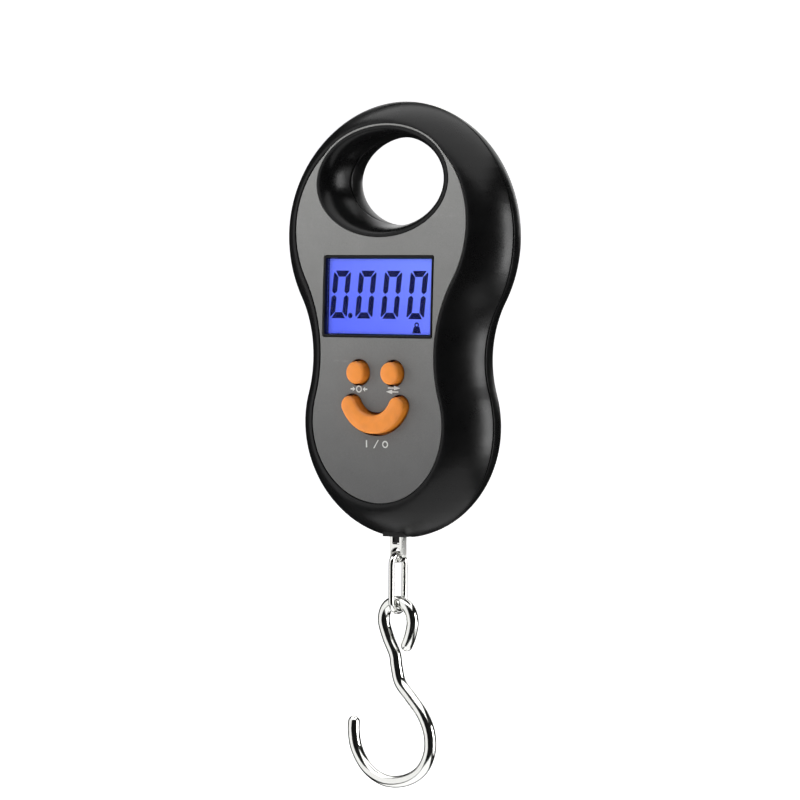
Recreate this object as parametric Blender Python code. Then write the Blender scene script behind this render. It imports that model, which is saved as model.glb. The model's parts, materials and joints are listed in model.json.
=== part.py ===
"""Digital fish scale: a peanut-shaped two-shell housing with an oval finger hole, a display and three
buttons on its face plate, a load cell inside, and a hanger, link and hook below.

Lengths in this file are millimetres; place_mesh and the curve functions turn them into metres.
+Z is up, the display faces -Y, and the origin is the centre of the finger hole, half way through it.
"""

import math

import bmesh
import bpy
from mathutils import Matrix, Vector

MM = 0.001
GAP = 0.3  # between pieces that touch

# Housing outline in the seam plane, y = 0: two circles joined by a concave waist.
BODY_TOP_Z, BODY_TOP_R = -14.7, 35.7
BODY_LOW_Z, BODY_LOW_R = -65.1, 29.7
BODY_WAIST_R = 28.2
# Outline of the face plate.
PLATE_TOP_Z, PLATE_TOP_R = -11.9, 27.7
PLATE_TOP_DROP = 1.3  # how much lower the plate's top end is than a circle's
PLATE_LOW_Z, PLATE_LOW_R = -63.7, 21.1
PLATE_WAIST_R = 39.6
UPPER_STEPS, WAIST_STEPS, LOWER_STEPS = 22, 6, 16  # edges along each arc of an outline

FRONT_DEPTH = 11.55  # from the seam to the face plate's front, at its crown
REAR_DEPTH = 10.55
FRONT_FULLNESS = 1.54  # superellipse exponents of the shoulders
REAR_FULLNESS = 1.79
REAR_INSET = 8.3  # the flat back lies this far inside the body outline
SHOULDER_STEPS = 5
SEAM = 0.15  # each shell stops this far from y = 0
WALL = 1.6
CROWN_Z, BOW_R = -51.5, 658.0  # the front is bowed lengthwise, highest at CROWN_Z
BOW_BAND = 12.0  # the bowed pieces are cut into bands of this height

# Finger hole: an ellipse at the neck, which flares to the rim on each side.
NECK_A, NECK_B = 17.2, 11.55
RIM_A, RIM_B, RIM_Z = 21.1, 14.3, -0.2
REAR_RIM_A, REAR_RIM_B = 23.5, 15.6
HOLE_STEPS = 36
HOLE_WALL = 1.4
RIM_LIP = 0.4  # the rim of the hole stands up to the face plate's front, this wide

PLATE_THICKNESS = 0.6
PLATE_LIP = 0.3  # flat rim of the housing outside the face plate's groove
FLOOR_THICKNESS = 1.2  # of the housing behind the face plate
PLATE_BACK = FRONT_DEPTH - PLATE_THICKNESS
FLOOR_FRONT = PLATE_BACK - GAP
FLOOR_BACK = FLOOR_FRONT - FLOOR_THICKNESS

WINDOW_W, WINDOW_TOP, WINDOW_BOTTOM = 36.0, -19.6, -41.3  # of the hole in the face plate
WINDOW_LIP = 0.4  # the housing's window stands up to the face plate's front, this wide
BUTTON_X, BUTTON_Z, BUTTON_R = 5.6, -50.5, 2.95
SMILE_Z, SMILE_R, SMILE_HALF_WIDTH = -55.5, 8.5, 2.45  # the arc's centre, centreline radius
SMILE_HALF_ANGLE = math.radians(65)
BUTTON_CLEARANCE = 0.45
BUTTON_RISE = 2.3  # above the face plate
BUTTON_TRAVEL = 0.8
BUTTON_CHAMFER = 0.7
FLANGE_REACH, FLANGE_THICKNESS = 1.1, 1.0  # of a button's flange, behind the floor
STEM_R = 1.5
DOME_R, DOME_HEIGHT = 2.6, 0.75

# Layers of the display, as y of each front and back face at CROWN_Z. They lean with the face plate.
COVER_Y = (-10.9, -10.3)
CELL_Y = (-10.0, -8.8)
GUIDE_Y = (-8.5, -7.7)
BEZEL_Y = (-9.1, -5.6)
LAMP_Z = (-31.1, -28.1)
FRAME_X, FRAME_Z = (-18.8, 18.8), (-43.2, -17.4)  # outside of the display's frame
FRAME_INSIDE_X, FRAME_INSIDE_Z = (-17.5, 17.5), (-40.9, -20.0)
BOARD_X, BOARD_Y, BOARD_Z = (-19.5, 19.5), (-4.8, -3.8), (-70.5, -17.5)
BOARD_TABS_X, BOARD_TABS_Z = (-23.0, 23.0), (-48.4, -43.6)
HANG_Y = -1.45  # plane of the load cell, hanger, link and hook
BEAM_THICKNESS = 4.1
BEAM_FRONT, BEAM_BACK = HANG_Y - BEAM_THICKNESS / 2, HANG_Y + BEAM_THICKNESS / 2

BATTERY_R, BATTERY_LENGTH, BATTERY_X, BATTERY_Y = 5.25, 44.5, 13.0, 3.95
BAY_TOP, BAY_BOTTOM = -32.2, -82.2
BAY_X = (7.5, 18.5)
BAY_FRONT = -1.6
BAY_WALL = 0.9
CONTACT = 0.4  # thickness of the battery contacts
TAIL_REACH = 2.2  # of their solder tails, above the bays
STRAP_BRIDGE_Y = (4.0, 7.0)
DOOR_HALF_WIDTH, DOOR_TOP, DOOR_LOW_Y = 19.8, -30.8, 3.4
DOOR_INNER_Y = 9.5
DECK_THICKNESS = 1.6  # of the floor around the battery bays
EDGE_WAY_X, EDGE_WAY_Y = (18.0, 20.2), (8.3, 9.4)  # lowered edges of that floor, for the door's slide
GRIP_GROOVES = 4
LATCH_HALF_WIDTH, LATCH_REACH = 6.0, 0.9  # the door's tongue, above DOOR_TOP
LATCH_Y = (9.0, 9.7)
DECK_REACH = 1.4  # of the bays' floor beyond the door

SCREWS_XZ = ((24.5, -19.0), (22.2, -71.0))  # housing screws, mirrored in x
SCREW_R, SCREW_HEAD_R, SCREW_HEAD_H, SCREW_SEAT_Y = 1.1, 2.3, 1.6, 5.0
BOSS_R, POST_R = 2.5, 3.3
BOARD_SCREW_X, BOARD_SCREW_Z = 21.2, -46.0
BOARD_SCREW_R, BOARD_HOLE_R = 0.7, 1.3
BEAM_X, BEAM_Z = (-6.0, 6.0), (-84.0, -19.5)
BEAM_SCREWS_Z, BEAM_SCREW_R = (-23.5, -30.5), 1.1
TONGUE_HALF, TONGUE_BOTTOM = 0.7, -93.0  # end of the load cell, inside the hanger's fork
GAUGE_HOLE_HALF, GAUGE_HOLE_Z, GAUGE_HOLE_R = 3.6, (-58.5, -45.0), 3.0

HANGER_HALF_WIDTH, HANGER_THICKNESS = 2.1, 2.0
HANGER_TOP, HANGER_SLOT_Z, HANGER_EYE_Z, HANGER_EYE_R = -88.4, -96.0, -98.4, 1.4
PIN_Z, PIN_R = -90.6, 0.45
LINK_WIRE_R, LINK_HALF_WIDTH = 0.8, 2.9
LINK_TOP_Z, LINK_BOTTOM_Z = -98.6, -113.9  # of the wire's centreline
HOOK_WIRE_R = 1.6
HOOK_TOP_Z = -111.3

BLACK = ("housing_black", (0.012, 0.012, 0.013), 0.28, 0.0)
GREY = ("plate_grey", (0.22, 0.22, 0.21), 0.42, 0.35)
ORANGE = ("button_orange", (0.9, 0.25, 0.04), 0.5, 0.0)
CHROME = ("chrome", (0.8, 0.8, 0.8), 0.12, 1.0)
STEEL = ("screw_steel", (0.45, 0.45, 0.46), 0.35, 1.0)
ALUMINIUM = ("aluminium", (0.6, 0.6, 0.62), 0.4, 1.0)
COVER = ("clear_cover", (0.8, 0.85, 0.95), 0.05, 0.0)
BLUE = ("display_blue", (0.1, 0.12, 0.9), 0.3, 0.0)
WHITE = ("white_plastic", (0.8, 0.8, 0.78), 0.5, 0.0)
BOARD = ("board_green", (0.02, 0.2, 0.07), 0.45, 0.0)
RUBBER = ("rubber_black", (0.02, 0.02, 0.02), 0.8, 0.0)
EPOXY = ("epoxy_black", (0.01, 0.01, 0.01), 0.2, 0.0)
POTTING = ("potting_white", (0.75, 0.74, 0.7), 0.6, 0.0)
SPRING = ("contact_nickel", (0.6, 0.58, 0.52), 0.3, 1.0)
WRAP = ("battery_wrap", (0.05, 0.16, 0.1), 0.4, 0.1)


# ---------------------------------------------------------------- building blocks

def material(look):
    name, colour, roughness, metallic = look
    made = bpy.data.materials.get(name)
    if made:
        return made
    made = bpy.data.materials.new(name)
    made.use_nodes = True
    shader = made.node_tree.nodes["Principled BSDF"]
    shader.inputs["Base Color"].default_value = (*colour, 1.0)
    shader.inputs["Roughness"].default_value = roughness
    shader.inputs["Metallic"].default_value = metallic
    made.diffuse_color = (*colour, 1.0)
    return made


def place_mesh(name, points, faces, look=None):
    """An object from points in millimetres. Its normals are made to point out."""
    mesh = bpy.data.meshes.new(name)
    mesh.from_pydata([Vector(p) * MM for p in points], [], faces)
    made = bmesh.new()
    made.from_mesh(mesh)
    bmesh.ops.recalc_face_normals(made, faces=made.faces)
    made.to_mesh(mesh)
    made.free()
    obj = bpy.data.objects.new(name, mesh)
    bpy.context.scene.collection.objects.link(obj)
    if look:
        mesh.materials.append(material(look))
    return obj


def loft(name, rings, look=None):
    """A closed solid through rings that all have the same number of points."""
    count = len(rings[0])
    points = [p for ring in rings for p in ring]
    faces = [tuple(range(count)), tuple(len(points) - count + i for i in reversed(range(count)))]
    for r in range(len(rings) - 1):
        for i in range(count):
            j = (i + 1) % count
            faces.append((r * count + i, (r + 1) * count + i, (r + 1) * count + j, r * count + j))
    return place_mesh(name, points, faces, look)


def prism_y(name, outline, y0, y1, look=None):
    """An (x, z) outline extruded from y0 to y1."""
    return loft(name, [[(x, y, z) for x, z in outline] for y in (y0, y1)], look)


def box(name, x, y, z, look=None):
    outline = [(x[0], z[0]), (x[1], z[0]), (x[1], z[1]), (x[0], z[1])]
    return prism_y(name, outline, y[0], y[1], look)


def turned(name, profile, centre, axis, look=None, steps=24):
    """A solid of revolution: profile is (radius, distance along axis), centre its zero point."""
    turn = Vector((0, 0, 1)).rotation_difference(Vector(axis))
    rings = []
    for radius, along in profile:
        angles = [2 * math.pi * i / steps for i in range(steps)]
        ring = [Vector((radius * math.cos(a), radius * math.sin(a), along)) for a in angles]
        rings.append([turn @ p + Vector(centre) for p in ring])
    return loft(name, rings, look)


def rod(name, radius, start, end, look=None, steps=24):
    """A plain cylinder between two points."""
    line = Vector(end) - Vector(start)
    return turned(name, [(radius, 0), (radius, line.length)], start, line.normalized(), look, steps)


def combine(target, tools, operation):
    """Cuts, joins or intersects target with each tool, and removes the tools."""
    for tool in tools:
        modifier = target.modifiers.new(tool.name, "BOOLEAN")
        modifier.operation = operation
        modifier.object = tool
    looks = list(target.data.materials)
    bpy.context.view_layer.update()
    graph = bpy.context.evaluated_depsgraph_get()
    mesh = bpy.data.meshes.new_from_object(target.evaluated_get(graph))
    target.modifiers.clear()
    target.data = mesh
    target.data.materials.clear()
    for look in looks:
        target.data.materials.append(look)
    for polygon in mesh.polygons:
        polygon.material_index = 0
    for tool in tools:
        bpy.data.objects.remove(tool)
    return target


def cut(target, *tools):
    return combine(target, tools, "DIFFERENCE")


def join(target, *tools):
    return combine(target, tools, "UNION")


def meet(target, *tools):
    return combine(target, tools, "INTERSECT")


def chamfer(obj, width, segments, chosen):
    """Bevels the edges for which chosen(edge) is true; its edge coordinates are in metres."""
    made = bmesh.new()
    made.from_mesh(obj.data)
    edges = [edge for edge in made.edges if chosen(edge)]
    bmesh.ops.bevel(made, geom=edges, offset=width * MM, segments=segments, affect="EDGES",
                    profile=0.5)
    made.to_mesh(obj.data)
    made.free()
    return obj


def wire(name, path, radius, look, sides=8, closed=False):
    """A round wire along a path of points."""
    curve = bpy.data.curves.new(name, "CURVE")
    curve.dimensions = "3D"
    curve.bevel_depth = radius * MM
    curve.bevel_resolution = sides // 2 - 2
    curve.use_fill_caps = not closed
    spline = curve.splines.new("POLY")
    spline.points.add(len(path) - 1)
    for point, at in zip(spline.points, path):
        point.co = (*(Vector(at) * MM), 1.0)
    spline.use_cyclic_u = closed
    curve.materials.append(material(look))
    obj = bpy.data.objects.new(name, curve)
    bpy.context.scene.collection.objects.link(obj)
    return obj


def smooth_path(points, steps):
    """Catmull-Rom curve through hand-placed points, with the given steps between each two."""
    ends = [Vector(points[0]) * 2 - Vector(points[1])]
    ends += [Vector(p) for p in points]
    ends += [Vector(points[-1]) * 2 - Vector(points[-2])]
    path = []
    for a, b, c, d in zip(ends, ends[1:], ends[2:], ends[3:]):
        for i in range(steps):
            t = i / steps
            path.append(0.5 * (2 * b + (c - a) * t + (2 * a - 5 * b + 4 * c - d) * t ** 2
                               + (3 * b - a - 3 * c + d) * t ** 3))
    return path + [ends[-2]]


# ---------------------------------------------------------------- outlines, as (x, z) points

def arc(centre, radius, start, end, steps):
    """Points along an arc, without its last one."""
    angles = [start + (end - start) * i / steps for i in range(steps)]
    return [(centre[0] + radius * math.cos(a), centre[1] + radius * math.sin(a)) for a in angles]


def peanut(top_z, top_r, low_z, low_r, waist_r, grow=0.0):
    """Two circles joined by concave arcs, moved outwards by grow. It starts at the right waist."""
    top_r, low_r, waist_r = top_r + grow, low_r + grow, waist_r - grow
    apart = top_z - low_z
    drop = (apart ** 2 + (top_r + waist_r) ** 2 - (low_r + waist_r) ** 2) / (2 * apart)
    waist_x, waist_z = math.sqrt((top_r + waist_r) ** 2 - drop ** 2), top_z - drop
    upper = math.atan2(waist_z - top_z, waist_x)
    lower = math.atan2(waist_z - low_z, waist_x)
    half = math.pi
    return (arc((waist_x, waist_z), waist_r, half + lower, half + upper, WAIST_STEPS)
            + arc((0, top_z), top_r, upper, half - upper, UPPER_STEPS)
            + arc((-waist_x, waist_z), waist_r, -upper, -lower, WAIST_STEPS)
            + arc((0, low_z), low_r, half - lower, 2 * half + lower, LOWER_STEPS))


def body_outline(grow=0.0):
    return peanut(BODY_TOP_Z, BODY_TOP_R, BODY_LOW_Z, BODY_LOW_R, BODY_WAIST_R, grow)


def plate_outline(grow=0.0):
    reach = PLATE_TOP_R + grow
    flat = (reach - PLATE_TOP_DROP) / reach
    return [(x, z if z < PLATE_TOP_Z else PLATE_TOP_Z + (z - PLATE_TOP_Z) * flat)
            for x, z in peanut(PLATE_TOP_Z, PLATE_TOP_R, PLATE_LOW_Z, PLATE_LOW_R, PLATE_WAIST_R, grow)]


def ellipse(a, b, centre_z, steps=HOLE_STEPS):
    angles = [2 * math.pi * i / steps for i in range(steps)]
    return [(a * math.cos(t), centre_z + b * math.sin(t)) for t in angles]


def circle(x, z, radius, steps=24):
    return [(x + px, pz) for px, pz in ellipse(radius, radius, z, steps)]


def rounded_rectangle(x, z, radius, steps=3):
    quarter = math.pi / 2
    corners = ((x[1] - radius, z[1] - radius), (x[0] + radius, z[1] - radius),
               (x[0] + radius, z[0] + radius), (x[1] - radius, z[0] + radius))
    outline = []
    for k, corner in enumerate(corners):
        outline += arc(corner, radius, k * quarter, (k + 1) * quarter, steps)
        outline.append((corner[0] + radius * math.cos((k + 1) * quarter),
                        corner[1] + radius * math.sin((k + 1) * quarter)))
    return outline


def window_outline(inset):
    """The face plate's window, moved inwards."""
    return rounded_rectangle((-WINDOW_W / 2 + inset, WINDOW_W / 2 - inset),
                             (WINDOW_BOTTOM + inset, WINDOW_TOP - inset), 0.4)


def smile_outline(grow=0.0, steps=14, end_steps=6):
    """A band along an arc below SMILE_Z, with round ends."""
    half, centre = SMILE_HALF_WIDTH + grow, (0, SMILE_Z)
    down = -math.pi / 2
    right, left = down + SMILE_HALF_ANGLE, down - SMILE_HALF_ANGLE
    end_right = (SMILE_R * math.cos(right), SMILE_Z + SMILE_R * math.sin(right))
    end_left = (SMILE_R * math.cos(left), SMILE_Z + SMILE_R * math.sin(left))
    return (arc(centre, SMILE_R + half, left, right, steps)
            + arc(end_right, half, right, right + math.pi, end_steps)
            + arc(centre, SMILE_R - half, right, left, steps)
            + arc(end_left, half, left + math.pi, left + 2 * math.pi, end_steps))


# ---------------------------------------------------------------- housing shells

def superellipse(fullness, steps=SHOULDER_STEPS):
    """(inward, out) pairs from the seam, (1, 0), to the flat face, (0, 1)."""
    pairs = []
    for i in range(steps + 1):
        angle = math.pi / 2 * i / steps
        pairs.append((abs(math.cos(angle)) ** (2 / fullness), abs(math.sin(angle)) ** (2 / fullness)))
    pairs[-1] = (0.0, 1.0)
    return pairs


def shoulder(name, seam_outline, face_outline, depth, fullness, side, seam):
    """A half housing: outlines blended from the seam to the face. side is -1 in front, 1 behind."""
    rings = []
    for weight, out in superellipse(fullness):
        y = side * (depth * out if out else seam)
        rings.append([(fx + (sx - fx) * weight, y, fz + (sz - fz) * weight)
                      for (sx, sz), (fx, fz) in zip(seam_outline, face_outline)])
    return loft(name, rings)


def hole_solid(name, side, depth, rim_a, rim_b, grow=0.0):
    """The finger hole's space on one side of the seam, flaring from the neck to the rim."""
    rings = []
    for i in range(SHOULDER_STEPS + 2):
        reach = min(i / SHOULDER_STEPS, 1.0)
        flare = 1 - math.sqrt(1 - reach ** 2)
        y = depth * reach + (2.0 if i > SHOULDER_STEPS else 0.0) - (1.0 if i == 0 else 0.0)
        a, b = NECK_A + (rim_a - NECK_A) * flare, NECK_B + (rim_b - NECK_B) * flare
        rings.append([(x, side * y, z) for x, z in ellipse(a + grow, b + grow, RIM_Z * flare)])
    return loft(name, rings)


def rear_face_outline(grow=0.0):
    return body_outline(grow - REAR_INSET)


def lower(obj):
    """Lowers a front piece's points to the bowed face. A box stays flat, and leans as the face does."""
    for vertex in obj.data.vertices:
        if vertex.co.y < 0:
            fall = (vertex.co.z / MM - CROWN_Z) ** 2 / (2 * BOW_R)
            vertex.co.y *= 1 - fall / FRONT_DEPTH
    return obj


def bow(obj):
    """Bends a front piece lengthwise: its depth falls away from CROWN_Z on a large circle."""
    made = bmesh.new()
    made.from_mesh(obj.data)
    level = BODY_LOW_Z - BODY_LOW_R + BOW_BAND / 2
    while level < BODY_TOP_Z + BODY_TOP_R:
        geometry = made.verts[:] + made.edges[:] + made.faces[:]
        bmesh.ops.bisect_plane(made, geom=geometry, plane_co=(0, 0, level * MM), plane_no=(0, 0, 1),
                               dist=0.01 * MM)
        level += BOW_BAND
    made.to_mesh(obj.data)
    made.free()
    return lower(obj)


def mirrored(pairs):
    return [(side * x, z) for x, z in pairs for side in (1, -1)]


def front_solid(name, skin=0.0):
    """The front half's outer shape, or that shape inside a skin of the given thickness."""
    return shoulder(name, body_outline(-skin), plate_outline(GAP + PLATE_LIP - skin),
                    FRONT_DEPTH - skin, FRONT_FULLNESS, -1, SEAM)


def rear_solid(name, skin=0.0):
    return shoulder(name, body_outline(-skin), rear_face_outline(-skin), REAR_DEPTH - skin,
                    REAR_FULLNESS, 1, SEAM)


def slot_cutter():
    """The slot in the bottom of both shells that the hanger's grommet sits in."""
    return box("slot", (-3.7, 3.7), (HANG_Y - 3.1, HANG_Y + 2.6), (-100, -91.2))


def button_holes(grow, y0, y1):
    holes = [prism_y(f"button_hole_{side}", circle(side * BUTTON_X, BUTTON_Z, BUTTON_R + grow), y0, y1)
             for side in (-1, 1)]
    return holes + [prism_y("smile_hole", smile_outline(grow), y0, y1)]


def front_housing():
    shell = front_solid("front_housing")
    shell.data.materials.append(material(BLACK))
    cavity = shoulder("cavity", body_outline(-WALL), plate_outline(GAP + PLATE_LIP - WALL),
                      FLOOR_BACK, FRONT_FULLNESS, -1, -1.0)
    cut(cavity, hole_solid("tunnel", -1, FRONT_DEPTH, RIM_A, RIM_B, HOLE_WALL))
    cut(shell, cavity)
    bosses = [rod(f"boss_{i}", BOSS_R, (x, -SEAM, z), (x, -FLOOR_BACK - 0.5, z))
              for i, (x, z) in enumerate(mirrored(SCREWS_XZ))]
    bosses += [rod(f"board_boss_{side}", 1.9, (side * BOARD_SCREW_X, BOARD_Y[0] - GAP, BOARD_SCREW_Z),
                   (side * BOARD_SCREW_X, -FLOOR_BACK - 0.5, BOARD_SCREW_Z), steps=16)
               for side in (-1, 1)]
    for boss in bosses:
        meet(boss, front_solid("limit", WALL / 2))
    join(shell, *bosses)
    pocket = prism_y("pocket", plate_outline(GAP), -FRONT_DEPTH - 2, -FLOOR_FRONT)
    cut(pocket, prism_y("rim_lip", ellipse(RIM_A + RIM_LIP, RIM_B + RIM_LIP, RIM_Z),
                        -FRONT_DEPTH - 3, -FLOOR_FRONT + 1),
        prism_y("window_lip", window_outline(GAP), -FRONT_DEPTH - 3, -FLOOR_FRONT + 1))
    window = prism_y("window", window_outline(GAP + WINDOW_LIP), -FRONT_DEPTH - 2, -FLOOR_BACK + 1)
    pilots = [rod(f"pilot_{i}", SCREW_R + GAP, (x, 1, z), (x, -6.4, z), steps=12)
              for i, (x, z) in enumerate(mirrored(SCREWS_XZ))]
    pilots += [rod(f"board_pilot_{side}", BOARD_SCREW_R + GAP, (side * BOARD_SCREW_X, 0, BOARD_SCREW_Z),
                   (side * BOARD_SCREW_X, -8.0, BOARD_SCREW_Z), steps=12) for side in (-1, 1)]
    cut(shell, hole_solid("hole", -1, FRONT_DEPTH, RIM_A, RIM_B), pocket, window, slot_cutter(),
        *button_holes(BUTTON_CLEARANCE, -FRONT_DEPTH - 2, -FLOOR_BACK + 1), *pilots)
    return bow(shell)


def bay_box(name, side, grow, rear):
    """One battery bay's space, or its outside when grow is a wall thickness."""
    x = sorted((side * (BAY_X[0] - grow), side * (BAY_X[1] + grow)))
    return box(name, x, (BAY_FRONT - grow, rear), (BAY_BOTTOM - grow, BAY_TOP + grow))


def door_solid(name, grow=0.0):
    """The battery door: the housing's own wall inside a round-cornered outline, open at the bottom.
    grow widens it on every side, for the opening that it lies in."""
    door = shoulder(name, body_outline(2 * grow), rear_face_outline(2 * grow), REAR_DEPTH + 2 * grow,
                    REAR_FULLNESS, 1, SEAM)
    half = DOOR_HALF_WIDTH + grow
    meet(door, prism_y("outline", rounded_rectangle((-half, half), (-120, DOOR_TOP + grow), 2.0),
                       DOOR_LOW_Y - grow, REAR_DEPTH + 2))
    inside = shoulder("inside", body_outline(-WALL - grow), rear_face_outline(-WALL - grow),
                      DOOR_INNER_Y - grow, REAR_FULLNESS, 1, -1.0)
    return cut(door, inside)


def rear_housing():
    shell = rear_solid("rear_housing")
    shell.data.materials.append(material(BLACK))
    cavity = shoulder("cavity", body_outline(-WALL), rear_face_outline(-WALL / 2), REAR_DEPTH - WALL,
                      REAR_FULLNESS, 1, -1.0)
    cut(cavity, hole_solid("tunnel", 1, REAR_DEPTH, REAR_RIM_A, REAR_RIM_B, HOLE_WALL))
    cut(shell, cavity)
    half_deck = DOOR_HALF_WIDTH + DECK_REACH
    deck = box("deck", (-half_deck, half_deck), (DOOR_INNER_Y - GAP - DECK_THICKNESS, DOOR_INNER_Y - GAP),
               (BAY_BOTTOM - DECK_REACH, DOOR_TOP + DECK_REACH))
    bays = [bay_box(f"bay_{side}", side, BAY_WALL, DOOR_INNER_Y - GAP - 0.6) for side in (-1, 1)]
    posts = [rod(f"post_{i}", POST_R, (x, SEAM, z), (x, REAR_DEPTH - 0.3, z))
             for i, (x, z) in enumerate(mirrored(SCREWS_XZ))]
    posts += [rod(f"beam_post_{i}", 3.0, (0, BEAM_BACK + GAP, z), (0, REAR_DEPTH - 0.3, z), steps=20)
              for i, z in enumerate(BEAM_SCREWS_Z)]
    for piece in [deck, *posts]:
        meet(piece, rear_solid("limit", WALL / 2))
    join(shell, deck, *bays, *posts)
    spaces = [bay_box(f"space_{side}", side, 0.0, REAR_DEPTH + 2) for side in (-1, 1)]
    opening = door_solid("opening", GAP)
    seats = [rod(f"seat_{i}", SCREW_HEAD_R + GAP, (x, SCREW_SEAT_Y, z), (x, REAR_DEPTH + 2, z), steps=20)
             for i, (x, z) in enumerate(mirrored(SCREWS_XZ))]
    pilots = [rod(f"pilot_{i}", SCREW_R + GAP, (x, -1, z), (x, REAR_DEPTH + 2, z), steps=12)
              for i, (x, z) in enumerate(mirrored(SCREWS_XZ))]
    pilots += [rod(f"beam_pilot_{i}", BEAM_SCREW_R + GAP, (0, -1, z), (0, 7.0, z), steps=12)
               for i, z in enumerate(BEAM_SCREWS_Z)]
    tails = [rod(f"tail_hole_{side}", 1.3, (side * BATTERY_X, 0.5, BAY_TOP - 1),
                 (side * BATTERY_X, 0.5, BAY_TOP + 3), steps=12) for side in (-1, 1)]
    latch_top = DOOR_TOP + LATCH_REACH + GAP
    latch_side = [(LATCH_Y[0] - GAP, BAY_BOTTOM - 3), (DOOR_INNER_Y - 0.1, BAY_BOTTOM - 3),
                  (DOOR_INNER_Y - 0.1, DOOR_TOP - 0.5), (LATCH_Y[1] + GAP, DOOR_TOP - 0.5),
                  (LATCH_Y[1] + GAP, latch_top), (LATCH_Y[0] - GAP, latch_top)]
    latch_way = loft("latch_way", [[(x, y, z) for y, z in latch_side]
                                   for x in (-LATCH_HALF_WIDTH - GAP, LATCH_HALF_WIDTH + GAP)])
    bridge = box("bridge_notch", (-BATTERY_X, BATTERY_X),
                 (STRAP_BRIDGE_Y[0] - GAP, STRAP_BRIDGE_Y[1] + GAP),
                 (BAY_BOTTOM, BAY_BOTTOM + CONTACT + 2 * GAP))
    edge_ways = [box(f"edge_way_{side}", sorted(side * x for x in EDGE_WAY_X), EDGE_WAY_Y,
                     (BAY_BOTTOM - 3, DOOR_TOP - 3)) for side in (-1, 1)]
    hole = hole_solid("hole", 1, REAR_DEPTH, REAR_RIM_A, REAR_RIM_B)
    return cut(shell, hole, *spaces, opening, bridge, *edge_ways, *seats, *pilots, *tails, latch_way,
               slot_cutter())


def battery_door():
    """The door, with grip grooves near its top and a latch tongue under the housing's wall."""
    door = door_solid("battery_door")
    door.data.materials.append(material(BLACK))
    grooves = [box(f"groove_{i}", (-6.0, 6.0), (REAR_DEPTH - 0.4, REAR_DEPTH + 1),
                   (DOOR_TOP - 3.0 - 1.6 * i, DOOR_TOP - 2.2 - 1.6 * i))
               for i in range(GRIP_GROOVES)]
    cut(door, *grooves)
    return join(door, box("latch", (-LATCH_HALF_WIDTH, LATCH_HALF_WIDTH), LATCH_Y,
                          (DOOR_TOP - 2, DOOR_TOP + LATCH_REACH)))


def face_plate():
    plate = prism_y("face_plate", plate_outline(), -FRONT_DEPTH, -PLATE_BACK, GREY)
    lip = RIM_LIP + GAP
    through = (-FRONT_DEPTH - 2, -PLATE_BACK + 2)
    cut(plate, prism_y("hole", ellipse(RIM_A + lip, RIM_B + lip, RIM_Z), *through),
        prism_y("window", window_outline(0.0), *through), *button_holes(BUTTON_CLEARANCE + 0.15, *through))
    return bow(plate)


# ---------------------------------------------------------------- display and board

def display_pieces():
    """Cover and cell inside the housing's window, and the light guide behind them, held by a frame."""
    lower(prism_y("display_cover", window_outline(2 * GAP + WINDOW_LIP), *COVER_Y, COVER))
    lower(prism_y("display_cell", window_outline(2 * GAP + WINDOW_LIP), *CELL_Y, BLUE))
    bottom, top = WINDOW_BOTTOM + 1.2, WINDOW_TOP - 1.2
    strip_top = bottom + 1.4
    lower(box("connector_strip", (-16.6, 16.6), (GUIDE_Y[0], BEZEL_Y[1]), (bottom, strip_top), RUBBER))
    lower(box("light_guide", (-15.7, 15.7), GUIDE_Y, (strip_top + GAP, top), WHITE))
    for name, side in (("backlight_lamp_left", -1), ("backlight_lamp_right", 1)):
        lower(box(name, sorted((side * 16.0, side * 17.0)), GUIDE_Y, LAMP_Z, WHITE))
    frame = box("display_bezel", FRAME_X, BEZEL_Y, FRAME_Z, WHITE)
    lower(cut(frame, box("inside", FRAME_INSIDE_X, (BEZEL_Y[0] - 1, BEZEL_Y[1] + 1), FRAME_INSIDE_Z)))


def circuit_board():
    board = box("circuit_board", BOARD_X, BOARD_Y, BOARD_Z, BOARD)
    join(board, box("tabs", BOARD_TABS_X, BOARD_Y, BOARD_TABS_Z))
    holes = [rod(f"hole_{side}", BOARD_HOLE_R, (side * BOARD_SCREW_X, -8, BOARD_SCREW_Z),
                 (side * BOARD_SCREW_X, 0, BOARD_SCREW_Z), steps=12) for side in (-1, 1)]
    cut(board, *holes)
    for name, side in (("board_screw_left", -1), ("board_screw_right", 1)):
        at = (side * BOARD_SCREW_X, BOARD_Y[1] + GAP, BOARD_SCREW_Z)
        profile = [(BOARD_SCREW_R, -3.6), (BOARD_SCREW_R, 0), (1.7, 0), (1.7, 0.7), (1.2, 1.0)]
        turned(name, profile, at, (0, 1, 0), STEEL, steps=12)
    turned("controller_blob", [(4.2, 0), (4.0, 0.5), (3.0, 1.0), (1.2, 1.3)],
           (-12.5, BOARD_Y[1] + GAP, -25.0), (0, 1, 0), EPOXY, steps=20)
    box("amplifier_chip", (10.0, 15.0), (BOARD_Y[1] + GAP, BOARD_Y[1] + 1.6), (-22.5, -18.5), EPOXY)


def key_dome(name, x, z):
    """Snap dome on the board, under a button's stem."""
    turned(name, [(DOME_R, 0), (2.4, 0.25), (1.7, 0.6), (0.8, DOME_HEIGHT)], (x, BOARD_Y[0] - GAP, z),
           (0, -1, 0), STEEL, steps=16)


STEM_BACK = BOARD_Y[0] - GAP - DOME_HEIGHT - GAP - BUTTON_TRAVEL  # y of a stem's end at rest


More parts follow.
